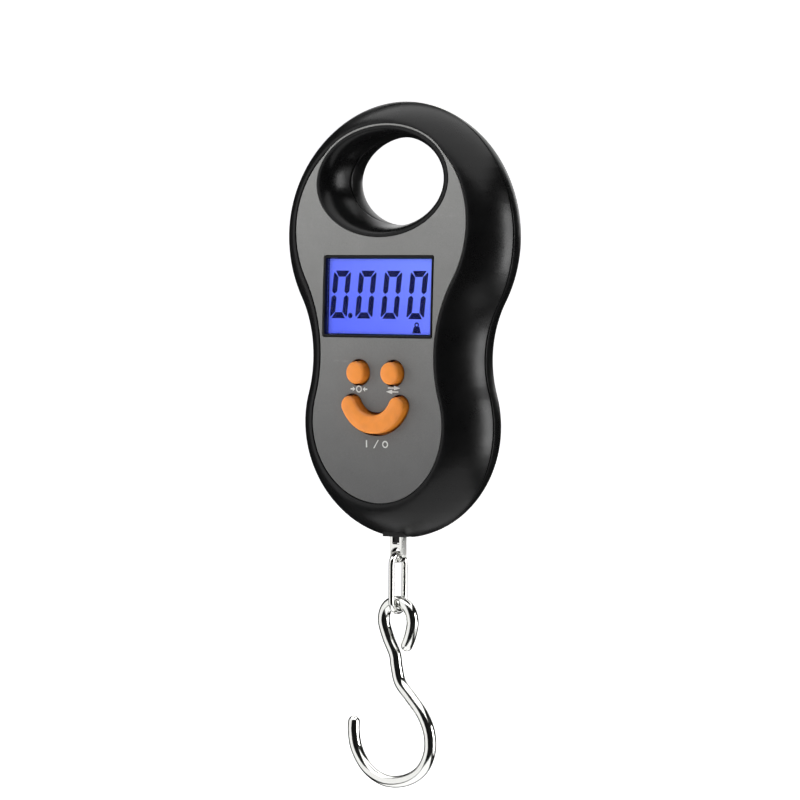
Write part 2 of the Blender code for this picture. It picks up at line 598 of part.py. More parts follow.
def button(name, outline, flange_outline, stem_x, stem_z):
    """Cap through the face, flange behind the floor, and stem towards the dome. Slides along +Y."""
    front = -FRONT_DEPTH - BUTTON_RISE
    flange = (-FLOOR_BACK + GAP, -FLOOR_BACK + GAP + FLANGE_THICKNESS)
    cap = prism_y(name, outline, front, flange[1] - 0.2, ORANGE)
    chamfer(cap, BUTTON_CHAMFER, 2, lambda edge: all(abs(v.co.y / MM - front) < 0.01 for v in edge.verts))
    join(cap, prism_y("flange", flange_outline, *flange),
         rod("stem", STEM_R, (stem_x, flange[1] - 0.2, stem_z), (stem_x, STEM_BACK, stem_z), steps=16))
    return cap


def buttons():
    for name, side in (("tare_button", -1), ("unit_button", 1)):
        x = side * BUTTON_X
        button(name, circle(x, BUTTON_Z, BUTTON_R, 28),
               circle(x, BUTTON_Z, BUTTON_R + FLANGE_REACH, 28), x, BUTTON_Z)
    stem_z = SMILE_Z - SMILE_R
    button("power_button", smile_outline(), smile_outline(FLANGE_REACH), 0, stem_z)
    key_dome("tare_key_dome", -BUTTON_X, BUTTON_Z)
    key_dome("unit_key_dome", BUTTON_X, BUTTON_Z)
    key_dome("power_key_dome", 0, stem_z)


# ---------------------------------------------------------------- load path

def load_cell():
    """Aluminium S-beam: screwed down at its top, cut from both sides, with a tongue below."""
    beam = box("load_cell", BEAM_X, (BEAM_FRONT, BEAM_BACK), BEAM_Z, ALUMINIUM)
    join(beam, box("tongue", (-TONGUE_HALF, TONGUE_HALF), (HANG_Y - 1, HANG_Y + 1),
                   (TONGUE_BOTTOM, BEAM_Z[0] + 1)))
    through = (BEAM_FRONT - 1, BEAM_BACK + 1)
    half, low, high = GAUGE_HOLE_HALF, *GAUGE_HOLE_Z
    cut(beam, box("upper_slot", (-7, 2.6), through, (-41.5, -40.0)),
        box("lower_slot", (-2.6, 7), through, (-64.0, -62.5)),
        prism_y("gauge_hole", rounded_rectangle((-half, half), (low, high), GAUGE_HOLE_R, 5), *through),
        rod("pin_hole", PIN_R + GAP, (-2, HANG_Y, PIN_Z), (2, HANG_Y, PIN_Z), steps=16),
        *[rod(f"head_{z}", 2.6, (0, BEAM_FRONT - 1, z), (0, BEAM_FRONT + 1.7, z), steps=20)
          for z in BEAM_SCREWS_Z],
        *[rod(f"shank_{z}", BEAM_SCREW_R + GAP, (0, BEAM_FRONT, z), (0, BEAM_BACK + 1, z), steps=12)
          for z in BEAM_SCREWS_Z])
    potting = rounded_rectangle((-half + GAP, half - GAP), (low + GAP, high - GAP), GAUGE_HOLE_R - GAP, 5)
    prism_y("gauge_potting", potting, BEAM_FRONT + 0.4, BEAM_BACK + 0.5, POTTING)
    for i, z in enumerate(BEAM_SCREWS_Z):
        turned(f"load_cell_screw_{i + 1}", [(2.2, 0), (2.2, 1.1), (BEAM_SCREW_R, 1.1), (BEAM_SCREW_R, 8.0)],
               (0, BEAM_FRONT + 0.3, z), (0, 1, 0), STEEL, steps=16)
    rod("hanger_pin", PIN_R, (-2.9, HANG_Y, PIN_Z), (2.9, HANG_Y, PIN_Z), STEEL, steps=14)


def hanger():
    """Flat tab with a fork above for the load cell's tongue and an eye below for the link."""
    half = HANGER_HALF_WIDTH
    outline = (arc((0, HANGER_EYE_Z - 0.5), half, math.pi, 2 * math.pi, 10)
               + [(half, HANGER_EYE_Z - 0.5), (half, HANGER_TOP), (-half, HANGER_TOP)])
    front, back = HANG_Y - HANGER_THICKNESS / 2, HANG_Y + HANGER_THICKNESS / 2
    tab = prism_y("hanger", outline, front, back, CHROME)
    cut(tab, box("fork", (-1.0, 1.0), (front - 1, back + 1), (HANGER_SLOT_Z, HANGER_TOP + 1)),
        prism_y("eye", circle(0, HANGER_EYE_Z, HANGER_EYE_R), front - 1, back + 1),
        rod("pin_hole", PIN_R + GAP, (-4, HANG_Y, PIN_Z), (4, HANG_Y, PIN_Z), steps=16))


def fork_spacer():
    """Black block between the fork's prongs, under the load cell's tongue."""
    box("fork_spacer", (-TONGUE_HALF, TONGUE_HALF), (HANG_Y - 0.8, HANG_Y + 0.8),
        (HANGER_SLOT_Z + GAP, TONGUE_BOTTOM - GAP), RUBBER)


def grommet():
    """Lines the slot in the bottom of the housing."""
    ring = box("slot_grommet", (-3.4, 3.4), (HANG_Y - 2.3, HANG_Y + 2.3), (-94.0, -91.5), RUBBER)
    cut(ring, box("inside", (-2.5, 2.5), (HANG_Y - 1.4, HANG_Y + 1.4), (-100, -90)))


def link():
    """Oval ring of wire in the YZ plane."""
    quarter, radius = math.pi / 2, LINK_HALF_WIDTH
    top, bottom = LINK_TOP_Z - radius, LINK_BOTTOM_Z + radius
    path = (arc((HANG_Y, top), radius, 0, 2 * quarter, 12) + [(HANG_Y - radius, top)]
            + arc((HANG_Y, bottom), radius, 2 * quarter, 4 * quarter, 12) + [(HANG_Y + radius, bottom)])
    wire("link", [(0, y, z) for y, z in path], LINK_WIRE_R, CHROME, sides=10, closed=True)


HOOK_POINTS = (  # centreline in the XZ plane, from the closing end of the eye to the tip
    (2.3, -12.6), (4.0, -9.0), (4.8, -5.0), (3.4, -1.45), (0.0, 0.0), (-3.4, -1.45), (-4.7, -5.0),
    (-3.3, -9.6), (-1.1, -14.0), (-0.5, -17.5), (0.7, -21.6), (4.2, -25.4), (7.9, -29.6),
    (10.1, -34.4), (10.1, -39.7), (7.3, -44.6), (2.0, -47.5), (-4.5, -47.9), (-10.2, -45.2),
    (-13.8, -40.4), (-14.9, -35.6), (-14.7, -31.8))


def hook():
    """J-hook whose wire is bent into an eye. It is turned so that it hangs balanced under its eye."""
    path = smooth_path([(x, 0, z) for x, z in HOOK_POINTS], 2)
    pieces = [((a + b) / 2, (b - a).length) for a, b in zip(path, path[1:])]
    total = sum(length for _, length in pieces)
    centre = sum((middle * length for middle, length in pieces), Vector()) / total
    level = Matrix.Rotation(-math.atan2(centre.x, -centre.z), 3, "Y")
    level.invert()
    hung = [level @ p + Vector((0, HANG_Y, HOOK_TOP_Z)) for p in path]
    wire("hook", hung, HOOK_WIRE_R, CHROME, sides=12)


# ---------------------------------------------------------------- power

def batteries():
    """Two AAA cells, side by side and opposite ways up, between a strap below and two contacts above."""
    length = BATTERY_LENGTH
    profile = [(BATTERY_R, 0), (BATTERY_R, length - 1.2), (2.0, length - 1.2), (1.9, length)]
    low_plate, high_plate = BAY_BOTTOM + GAP, BAY_TOP - GAP
    inset = CONTACT + GAP + length
    turned("battery_1", profile, (-BATTERY_X, BATTERY_Y, high_plate - inset), (0, 0, 1), WRAP)
    turned("battery_2", profile, (BATTERY_X, BATTERY_Y, low_plate + inset), (0, 0, -1), WRAP)
    strap_z = (low_plate, low_plate + CONTACT)
    strap = box("battery_strap", (-BATTERY_X - 4, -BATTERY_X + 4), (0, 7.2), strap_z, SPRING)
    join(strap, box("other_pad", (BATTERY_X - 4, BATTERY_X + 4), (0, 7.2), strap_z),
         box("bridge", (-BATTERY_X, BATTERY_X), STRAP_BRIDGE_Y, strap_z))
    for name, side in (("positive_contact", -1), ("negative_contact", 1)):
        middle = side * BATTERY_X
        plate = box(name, (middle - 4.5, middle + 4.5), (-0.3, 8), (high_plate - CONTACT, high_plate),
                    SPRING)
        join(plate, box("tail", (middle - 0.6, middle + 0.6), (0.2, 0.8),
                        (high_plate - CONTACT / 2, BAY_TOP + TAIL_REACH)))
    free = BAY_TOP - BAY_BOTTOM - 2 * (GAP + CONTACT) - length - 2 * GAP
    spring("strap_spring", -BATTERY_X, strap_z[1] + GAP, free)
    spring("contact_spring", BATTERY_X, high_plate - CONTACT - GAP - free, free)


def spring(name, x, start, length, turns=4, steps=10):
    """Conical contact spring, wide end on its plate."""
    wire_r = 0.25
    path = []
    for i in range(turns * steps + 1):
        part = i / (turns * steps)
        angle, radius = 2 * math.pi * turns * part, 3.6 - 1.4 * part
        rise = wire_r + (length - 2 * wire_r) * (part if x < 0 else 1 - part)
        path.append((x + radius * math.cos(angle), BATTERY_Y + radius * math.sin(angle), start + rise))
    wire(name, path, wire_r, SPRING, sides=6)


def leads():
    """Wires between the battery contacts, the load cell's gauges and the back of the board."""
    tail_z, board_y = BAY_TOP + TAIL_REACH + GAP, BOARD_Y[1] + GAP
    red = ("wire_red", (0.5, 0.02, 0.02), 0.4, 0.0)
    black = ("wire_black", (0.02, 0.02, 0.02), 0.4, 0.0)
    white = ("wire_white", (0.8, 0.8, 0.8), 0.4, 0.0)
    green = ("wire_green", (0.03, 0.4, 0.1), 0.4, 0.0)
    for name, side, look in (("positive_wire", -1, red), ("negative_wire", 1, black)):
        points = ((13.0, 0.5, tail_z), (13.2, 0.6, tail_z + 2.0), (14.6, 0.3, tail_z + 4.0),
                  (16.6, -1.2, -26.3), (17.2, board_y, -26.0))
        wire(name, smooth_path([(side * x, y, z) for x, y, z in points], 3), 0.5, look, 6)
    for name, side, look in (("gauge_wire_white", -1, white), ("gauge_wire_green", 1, green)):
        points = ((2.2, BEAM_BACK + 1.3, -47.0), (3.6, BEAM_BACK + 1.2, -43.5),
                  (4.9, BEAM_BACK + 1.0, -38.0), (4.9, BEAM_BACK + 1.0, -28.0),
                  (5.6, BEAM_BACK + 0.9, -24.0), (7.3, -0.8, -21.8), (7.8, board_y, -21.0))
        wire(name, smooth_path([(side * x, y, z) for x, y, z in points], 3), 0.4, look, 6)


def housing_screws():
    names = ("upper_right", "upper_left", "lower_right", "lower_left")
    for name, (x, z) in zip(names, mirrored(SCREWS_XZ)):
        head = SCREW_HEAD_H
        turned(f"housing_screw_{name}",
               [(SCREW_HEAD_R * 0.75, head), (SCREW_HEAD_R, head * 0.6), (SCREW_HEAD_R, 0), (SCREW_R, 0),
                (SCREW_R, -10.6), (0.4, -11.2)],
               (x, SCREW_SEAT_Y + GAP, z), (0, 1, 0), STEEL, steps=16)


# ---------------------------------------------------------------- joints and finish

def hold(names, axis_name, at):
    """Parents pieces to an empty on their joint's axis, without moving them."""
    empty = bpy.data.objects.new(axis_name, None)
    empty.location = Vector(at) * MM
    empty.empty_display_size = 4 * MM
    bpy.context.scene.collection.objects.link(empty)
    for name in names:
        piece = bpy.data.objects[name]
        piece.parent = empty
        piece.matrix_parent_inverse = Matrix.Translation(-empty.location)


def build():
    for obj in list(bpy.data.objects):
        bpy.data.objects.remove(obj)
    front_housing()
    rear_housing()
    battery_door()
    face_plate()
    display_pieces()
    circuit_board()
    buttons()
    load_cell()
    hanger()
    fork_spacer()
    grommet()
    link()
    hook()
    batteries()
    leads()
    housing_screws()
    hold(["tare_button"], "tare_axis", (-BUTTON_X, -FRONT_DEPTH, BUTTON_Z))
    hold(["unit_button"], "unit_axis", (BUTTON_X, -FRONT_DEPTH, BUTTON_Z))
    hold(["power_button"], "power_axis", (0, -FRONT_DEPTH, SMILE_Z - SMILE_R))
    hold(["battery_door"], "door_axis", (0, REAR_DEPTH, DOOR_TOP))
    hold(["link"], "link_axis", (0, HANG_Y, HANGER_EYE_Z))
    hold(["hook"], "hook_axis", (0, HANG_Y, HOOK_TOP_Z))
    for obj in bpy.data.objects:
        if obj.type == "MESH":
            obj.data.shade_smooth()
            obj.data.set_sharp_from_angle(angle=math.radians(30))


build()
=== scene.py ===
import json
import math

import bmesh
import bpy
from mathutils import Matrix, Vector


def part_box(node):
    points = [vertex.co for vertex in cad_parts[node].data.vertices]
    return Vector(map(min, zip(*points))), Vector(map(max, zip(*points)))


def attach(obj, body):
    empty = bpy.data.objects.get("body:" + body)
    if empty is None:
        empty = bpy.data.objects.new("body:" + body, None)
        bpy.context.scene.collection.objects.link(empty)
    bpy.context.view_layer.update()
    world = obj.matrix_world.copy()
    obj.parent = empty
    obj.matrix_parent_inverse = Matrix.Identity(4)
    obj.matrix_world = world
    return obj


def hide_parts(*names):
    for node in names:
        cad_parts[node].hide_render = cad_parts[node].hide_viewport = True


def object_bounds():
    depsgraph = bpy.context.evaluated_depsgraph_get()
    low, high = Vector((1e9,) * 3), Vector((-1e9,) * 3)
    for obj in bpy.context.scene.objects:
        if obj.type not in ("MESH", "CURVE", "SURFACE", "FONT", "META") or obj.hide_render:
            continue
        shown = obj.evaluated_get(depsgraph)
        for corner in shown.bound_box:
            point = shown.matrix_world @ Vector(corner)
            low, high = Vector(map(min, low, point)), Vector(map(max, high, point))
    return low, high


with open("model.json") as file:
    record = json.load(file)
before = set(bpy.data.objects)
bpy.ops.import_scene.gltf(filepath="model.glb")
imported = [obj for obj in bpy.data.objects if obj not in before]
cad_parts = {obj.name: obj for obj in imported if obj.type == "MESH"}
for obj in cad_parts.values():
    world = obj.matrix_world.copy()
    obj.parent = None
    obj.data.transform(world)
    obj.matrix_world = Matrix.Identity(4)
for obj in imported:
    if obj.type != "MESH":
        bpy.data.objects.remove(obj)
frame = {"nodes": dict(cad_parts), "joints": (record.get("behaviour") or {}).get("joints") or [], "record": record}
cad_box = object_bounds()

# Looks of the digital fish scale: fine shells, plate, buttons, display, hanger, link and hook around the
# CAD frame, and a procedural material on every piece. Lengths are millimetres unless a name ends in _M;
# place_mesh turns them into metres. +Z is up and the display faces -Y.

MM = 0.001
GAP = 0.3
HALF = math.pi
QUARTER = math.pi / 2


def in_mm(node):
    """A CAD node's lowest and highest corners, in millimetres."""
    low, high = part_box(node)
    return low / MM, high / MM


def joint(name):
    return next(j for j in frame["joints"] if j["name"] == name)


HOUSING_LOW, HOUSING_HIGH = in_mm("front_housing")
REAR_DEPTH = in_mm("rear_housing")[1].y
HANG_Y = joint("hook_swing")["pos_m"][1] / MM
HOOK_TOP_Z = joint("hook_swing")["pos_m"][2] / MM

# Outlines: two circles joined by a concave waist, as in the CAD model.
BODY_TOP_R = HOUSING_HIGH.x
BODY_TOP_Z = HOUSING_HIGH.z - BODY_TOP_R
BODY_LOW_R = 29.7
BODY_LOW_Z = HOUSING_LOW.z + BODY_LOW_R
BODY_WAIST_R = 28.2
PLATE_TOP_Z, PLATE_TOP_R = -11.9, 27.7
PLATE_TOP_DROP = 1.3  # how much lower the plate's top end is than a circle's
PLATE_LOW_Z, PLATE_LOW_R = -63.7, 21.1
PLATE_WAIST_R = 39.6
UPPER_STEPS, WAIST_STEPS, LOWER_STEPS = 88, 22, 64

FRONT_DEPTH = 11.55
FRONT_FULLNESS, REAR_FULLNESS = 1.54, 1.79
REAR_INSET = 8.3
SHOULDER_STEPS = 16
SEAM = 0.15
SEAM_ROUND = 0.22
WALL = 1.6
TONGUE_INSET, TONGUE_WIDTH, TONGUE_REACH = 0.6, 0.7, 0.12  # inside the seam, to keep light out
CROWN_Z, BOW_R = -51.5, 658.0
BOW_BAND = 3.0

NECK_A, NECK_B = 17.2, 11.55
RIM_A, RIM_B, RIM_Z = 21.1, 14.3, -0.2
REAR_RIM_A, REAR_RIM_B = 23.5, 15.6
HOLE_STEPS = 120
HOLE_WALL = 1.4
RIM_LIP = 0.3
STRIP_WIDTH = 0.45  # of the face plate over the finger hole
FINE_GAP = 0.12

PLATE_THICKNESS, PLATE_LIP, FLOOR_THICKNESS = 0.6, 0.3, 1.2
PLATE_BACK = FRONT_DEPTH - PLATE_THICKNESS
FLOOR_FRONT = PLATE_BACK - GAP
FLOOR_BACK = FLOOR_FRONT - FLOOR_THICKNESS
EDGE_ROUND = 0.14  # on the face plate, the groove and the window

WINDOW_W, WINDOW_TOP, WINDOW_BOTTOM, WINDOW_LIP = 36.0, -19.6, -41.3, 0.4
COVER_Y, CELL_Y = (-10.9, -10.3), (-10.0, -8.8)
BUTTON_X, BUTTON_Z, BUTTON_R = 5.6, -50.5, 2.95
SMILE_Z, SMILE_R, SMILE_HALF_WIDTH, SMILE_HALF_ANGLE = -55.5, 8.5, 2.45, math.radians(65)
BUTTON_CLEARANCE, BUTTON_RISE, BUTTON_ROUND = 0.45, 2.3, 0.85

BATTERY_R, BATTERY_X, BATTERY_Y = 5.25, 13.0, 3.95
BAY_TOP, BAY_BOTTOM, BAY_X, BAY_FRONT, BAY_WALL = -32.2, -82.2, (7.5, 18.5), -1.6, 0.9
DOOR_HALF_WIDTH, DOOR_TOP, DOOR_LOW_Y, DOOR_INNER_Y = 19.8, -30.8, 3.4, 9.5
DECK_THICKNESS = 1.6
EDGE_WAY_X, EDGE_WAY_Y = (18.0, 20.2), (8.3, 9.4)
LATCH_HALF_WIDTH, LATCH_REACH, LATCH_Y = 6.0, 0.9, (9.0, 9.7)
GRIP_GROOVES = 4
BACK_BEVEL = 0.12
SCREWS_XZ = ((24.5, -19.0), (22.2, -71.0))
SCREW_R, SCREW_HEAD_R, SCREW_HEAD_H, SCREW_SEAT_Y = 1.1, 2.3, 1.6, 5.0
BOSS_R, POST_R, PILOT_END_Y = 2.5, 3.3, -6.4
BOARD_Y = (-4.8, -3.8)
BOARD_SCREWS_XZ = ((21.2, -46.0),)
BOARD_BOSS_R, BOARD_PILOT_R, BOARD_PILOT_END_Y = 1.9, 1.0, -8.0
FLANGE_REACH, FLANGE_THICKNESS, CAP_ROOT, STEM_R = 1.1, 1.0, 0.8, 1.5
DOME_HEIGHT, PRESS_TRAVEL = 0.75, 0.8

HANGER_HALF_WIDTH, HANGER_THICKNESS = 2.1, 2.0
HANGER_TOP, HANGER_SLOT_Z, HANGER_EYE_Z, HANGER_EYE_R = -88.4, -96.0, -98.4, 1.4
PIN_Z, PIN_R = -90.6, 0.45
LINK_WIRE_R, LINK_HALF_WIDTH, LINK_TOP_Z, LINK_BOTTOM_Z = 0.8, 2.9, -98.6, -113.9
HOOK_WIRE_R = 1.6
SLOT_HALF_WIDTH, SLOT_FRONT, SLOT_BACK, SLOT_TOP = 3.7, HANG_Y - 3.1, HANG_Y + 2.6, -91.2

DIGIT_W, DIGIT_H, STROKE, PITCH = 5.65, 12.6, 1.6, 8.4
DIGIT_LEFT, DIGIT_BASE = -16.0, -36.3
SLANT = math.tan(math.radians(5.5))
POINT_R, POINT_GAP, POINT_Z = 0.72, 1.2, 0.75  # the decimal point, from its digit's lower right corner
MARK_R, STROKE_HALF = 0.78, 0.18  # the printed ring
BUTTON_MARKS_Z, POWER_MARKS_Z = -54.85, -69.2
INK = 0.03  # thickness of the display's segments and of the printed marks


# ---- mesh building

def place_mesh(name, points, faces):
    """An object from points in millimetres. Its normals are made to point out."""
    mesh = bpy.data.meshes.new(name)
    mesh.from_pydata([Vector(p) * MM for p in points], [], faces)
    made = bmesh.new()
    made.from_mesh(mesh)
    bmesh.ops.recalc_face_normals(made, faces=made.faces)
    made.to_mesh(mesh)
    made.free()
    obj = bpy.data.objects.new(name, mesh)
    bpy.context.scene.collection.objects.link(obj)
    return obj


def loft(name, rings, closed=False):
    """A solid through rings that all have the same number of points, capped unless it is closed."""
    count, total = len(rings[0]), len(rings)
    points = [p for ring in rings for p in ring]
    faces = []
    if not closed:
        faces = [tuple(range(count)), tuple(len(points) - count + i for i in reversed(range(count)))]
    for r in range(total if closed else total - 1):
        s = (r + 1) % total
        for i in range(count):
            j = (i + 1) % count
            faces.append((r * count + i, s * count + i, s * count + j, r * count + j))
    return place_mesh(name, points, faces)


def prism_y(name, outline, y0, y1):
    return loft(name, [[(x, y, z) for x, z in outline] for y in (y0, y1)])


def box(name, x, y, z):
    return prism_y(name, [(x[0], z[0]), (x[1], z[0]), (x[1], z[1]), (x[0], z[1])], y[0], y[1])


def turned(name, profile, centre, axis, steps=48):
    """A solid of revolution: profile is (radius, distance along axis), centre its zero point."""
    turn = Vector((0, 0, 1)).rotation_difference(Vector(axis))
    rings = []
    for radius, along in profile:
        angles = [2 * math.pi * i / steps for i in range(steps)]
        ring = [Vector((radius * math.cos(a), radius * math.sin(a), along)) for a in angles]
        rings.append([turn @ p + Vector(centre) for p in ring])
    return loft(name, rings)


def rod(name, radius, start, end, steps=32):
    line = Vector(end) - Vector(start)
    return turned(name, [(radius, 0), (radius, line.length)], start, line.normalized(), steps)


def rods(name, pairs, radius, y0, y1, steps):
    """Rods along Y at the (x, z) pairs and at their mirror images."""
    return [rod(f"{name}_{i}", radius, (x, y0, z), (x, y1, z), steps)
            for i, (x, z) in enumerate(mirrored(pairs))]


def combine(target, tools, operation):
    """Cuts, joins or intersects target with each tool, and removes the tools."""
    for tool in tools:
        modifier = target.modifiers.new(tool.name, "BOOLEAN")
        modifier.operation = operation
        modifier.object = tool
    bpy.context.view_layer.update()
    graph = bpy.context.evaluated_depsgraph_get()
    mesh = bpy.data.meshes.new_from_object(target.evaluated_get(graph))
    target.modifiers.clear()
    target.data = mesh
    mesh.materials.clear()
    for polygon in mesh.polygons:
        polygon.material_index = 0
    for tool in tools:
        bpy.data.objects.remove(tool)
    return target


def cut(target, *tools):
    return combine(target, tools, "DIFFERENCE")


def join(target, *tools):
    return combine(target, tools, "UNION")


def meet(target, *tools):
    return combine(target, tools, "INTERSECT")


def swept(name, path, radius, sides=24, closed=False, rounded=False):
    """A round wire along a path. rounded closes its ends with domes."""
    path = [Vector(p) for p in path]
    if closed:
        extended = path[-1:] + path + path[:1]
    else:
        extended = [2 * path[0] - path[1]] + path + [2 * path[-1] - path[-2]]
    tangents = [(b - a).normalized() for a, b in zip(extended, extended[2:])]
    side = tangents[0].orthogonal().normalized()
    frames = []
    for at, tangent in zip(path, tangents):
        side = (side - tangent * side.dot(tangent)).normalized()
        frames.append((at, side.copy(), tangent.cross(side), radius))
    if rounded:
        caps = [math.radians(a) for a in (80, 60, 40, 20)]
        start, end = frames[0], frames[-1]
        after = [(end[0] + tangents[-1] * radius * math.sin(a), end[1], end[2], radius * math.cos(a))
                 for a in reversed(caps)]
        before = [(start[0] - tangents[0] * radius * math.sin(a), start[1], start[2], radius * math.cos(a))
                  for a in caps]
        frames = before + frames + after
    rings = []
    for at, u, v, r in frames:
        angles = [2 * math.pi * i / sides for i in range(sides)]
        rings.append([at + (u * math.cos(a) + v * math.sin(a)) * r for a in angles])
    return loft(name, rings, closed)


def smooth_path(points, steps):
    """Catmull-Rom curve through the listed points, with the given steps between each two."""
    ends = [Vector(points[0]) * 2 - Vector(points[1])]
    ends += [Vector(p) for p in points]
    ends += [Vector(points[-1]) * 2 - Vector(points[-2])]
    path = []
    for a, b, c, d in zip(ends, ends[1:], ends[2:], ends[3:]):
        for i in range(steps):
            t = i / steps
            path.append(0.5 * (2 * b + (c - a) * t + (2 * a - 5 * b + 4 * c - d) * t ** 2
                               + (3 * b - a - 3 * c + d) * t ** 3))
    return path + [ends[-2]]


def bevel(obj, width, segments=2, angle=40):
    """Rounds the edges sharper than angle."""
    modifier = obj.modifiers.new("edges", "BEVEL")
    modifier.width = width * MM
    modifier.segments = segments
    modifier.limit_method = "ANGLE"
    modifier.angle_limit = math.radians(angle)
    modifier.miter_outer = "MITER_ARC"
    return obj


def shade(obj, angle=35):
    """Smooth shading, with flat faces kept flat beside rounded edges."""
    obj.data.shade_smooth()
    obj.data.set_sharp_from_angle(angle=math.radians(angle))
    modifier = obj.modifiers.new("normals", "WEIGHTED_NORMAL")
    modifier.keep_sharp = True
    modifier.weight = 80
    return obj


# ---- outlines, as (x, z) points

def arc(centre, radius, start, end, steps):
    """Points along an arc, without its last one."""
    angles = [start + (end - start) * i / steps for i in range(steps)]
    return [(centre[0] + radius * math.cos(a), centre[1] + radius * math.sin(a)) for a in angles]


def peanut(top_z, top_r, low_z, low_r, waist_r, grow=0.0):
    """Two circles joined by concave arcs, moved outwards by grow. It starts at the right waist."""
    top_r, low_r, waist_r = top_r + grow, low_r + grow, waist_r - grow
    apart = top_z - low_z
    drop = (apart ** 2 + (top_r + waist_r) ** 2 - (low_r + waist_r) ** 2) / (2 * apart)
    waist_x, waist_z = math.sqrt((top_r + waist_r) ** 2 - drop ** 2), top_z - drop
    upper = math.atan2(waist_z - top_z, waist_x)
    lower = math.atan2(waist_z - low_z, waist_x)
    return (arc((waist_x, waist_z), waist_r, HALF + lower, HALF + upper, WAIST_STEPS)
            + arc((0, top_z), top_r, upper, HALF - upper, UPPER_STEPS)
            + arc((-waist_x, waist_z), waist_r, -upper, -lower, WAIST_STEPS)
            + arc((0, low_z), low_r, HALF - lower, 2 * HALF + lower, LOWER_STEPS))


def body_outline(grow=0.0):
    return peanut(BODY_TOP_Z, BODY_TOP_R, BODY_LOW_Z, BODY_LOW_R, BODY_WAIST_R, grow)


def rear_face_outline(grow=0.0):
    return body_outline(grow - REAR_INSET)


def plate_outline(grow=0.0):
    reach = PLATE_TOP_R + grow
    flat = (reach - PLATE_TOP_DROP) / reach
    return [(x, z if z < PLATE_TOP_Z else PLATE_TOP_Z + (z - PLATE_TOP_Z) * flat)
            for x, z in peanut(PLATE_TOP_Z, PLATE_TOP_R, PLATE_LOW_Z, PLATE_LOW_R, PLATE_WAIST_R, grow)]


def ellipse(a, b, centre_z, steps=HOLE_STEPS):
    angles = [2 * math.pi * i / steps for i in range(steps)]
    return [(a * math.cos(t), centre_z + b * math.sin(t)) for t in angles]


def circle(x, z, radius, steps=48):
    return [(x + px, pz) for px, pz in ellipse(radius, radius, z, steps)]


def rounded_rectangle(x, z, radius, steps=6):
    corners = ((x[1] - radius, z[1] - radius), (x[0] + radius, z[1] - radius),
               (x[0] + radius, z[0] + radius), (x[1] - radius, z[0] + radius))
    outline = []
    for k, corner in enumerate(corners):
        outline += arc(corner, radius, k * QUARTER, (k + 1) * QUARTER, steps)
        outline.append((corner[0] + radius * math.cos((k + 1) * QUARTER),
                        corner[1] + radius * math.sin((k + 1) * QUARTER)))
    return outline


def window_outline(inset):
    """The face plate's window, moved inwards. Its corners keep their number of points."""
    return rounded_rectangle((-WINDOW_W / 2 + inset, WINDOW_W / 2 - inset),
                             (WINDOW_BOTTOM + inset, WINDOW_TOP - inset), max(0.6 - inset / 2, 0.2))


def smile_outline(grow=0.0, steps=48, end_steps=20):
    """A band along an arc below SMILE_Z, with round ends."""
    half, centre = SMILE_HALF_WIDTH + grow, (0, SMILE_Z)
    right, left = -QUARTER + SMILE_HALF_ANGLE, -QUARTER - SMILE_HALF_ANGLE
    end_right = (SMILE_R * math.cos(right), SMILE_Z + SMILE_R * math.sin(right))
    end_left = (SMILE_R * math.cos(left), SMILE_Z + SMILE_R * math.sin(left))
    return (arc(centre, SMILE_R + half, left, right, steps)
            + arc(end_right, half, right, right + HALF, end_steps)
            + arc(centre, SMILE_R - half, right, left, steps)
            + arc(end_left, half, left + HALF, left + 2 * HALF, end_steps))


# ---- solids of the housing

def quarter_round(radius, steps=4):
    """(inwards, down) pairs of a rounded edge, from the flat face to the side wall."""
    turns = [QUARTER * i / steps for i in range(steps + 1)]
    return [(radius * (1 - math.sin(t)), radius * (1 - math.cos(t))) for t in turns]


def routed(name, outline, back, radius=EDGE_ROUND, proud=0.003):
    """A cutter from the front through to y = -back, which rounds the edge that it cuts."""
    rings = [[(x, -FRONT_DEPTH - 2, z) for x, z in outline(radius + 0.6)]]
    for out, down in quarter_round(radius):
        rings.append([(x, -FRONT_DEPTH - proud + down, z) for x, z in outline(out)])
    rings.append([(x, -back, z) for x, z in outline(0.0)])
    return loft(name, rings)


def raised(name, outline, back, front=FRONT_DEPTH, radius=EDGE_ROUND):
    """A plate or lip from y = -back to the front, with its front edge rounded."""
    rings = [[(x, -back, z) for x, z in outline(0.0)]]
    for out, down in reversed(quarter_round(radius)):
        rings.append([(x, -front + down, z) for x, z in outline(-out)])
    return loft(name, rings)


def superellipse(fullness):
    """(inward, out) pairs from the seam, (1, 0), to the flat face, (0, 1)."""
    pairs = []
    for i in range(1, SHOULDER_STEPS + 1):
        angle = QUARTER * i / SHOULDER_STEPS
        pairs.append((abs(math.cos(angle)) ** (2 / fullness), abs(math.sin(angle)) ** (2 / fullness)))
    pairs[-1] = (0.0, 1.0)
    return pairs


def shoulder(name, outline, face, depth, fullness, side, seam, rounding=SEAM_ROUND):
    """A half housing, blended from outline(grow) at the seam to face(grow). side is -1 in front."""
    steps = reversed(quarter_round(rounding, 3)) if rounding else [(0.0, 0.0)]
    rings = [[(x, side * (seam + along), z) for x, z in outline(-inset)] for along, inset in steps]
    seam_outline, face_outline = outline(0.0), face(0.0)
    for weight, out in superellipse(fullness):
        rings.append([(fx + (sx - fx) * weight, side * depth * out, fz + (sz - fz) * weight)
                      for (sx, sz), (fx, fz) in zip(seam_outline, face_outline)])
    return loft(name, rings)


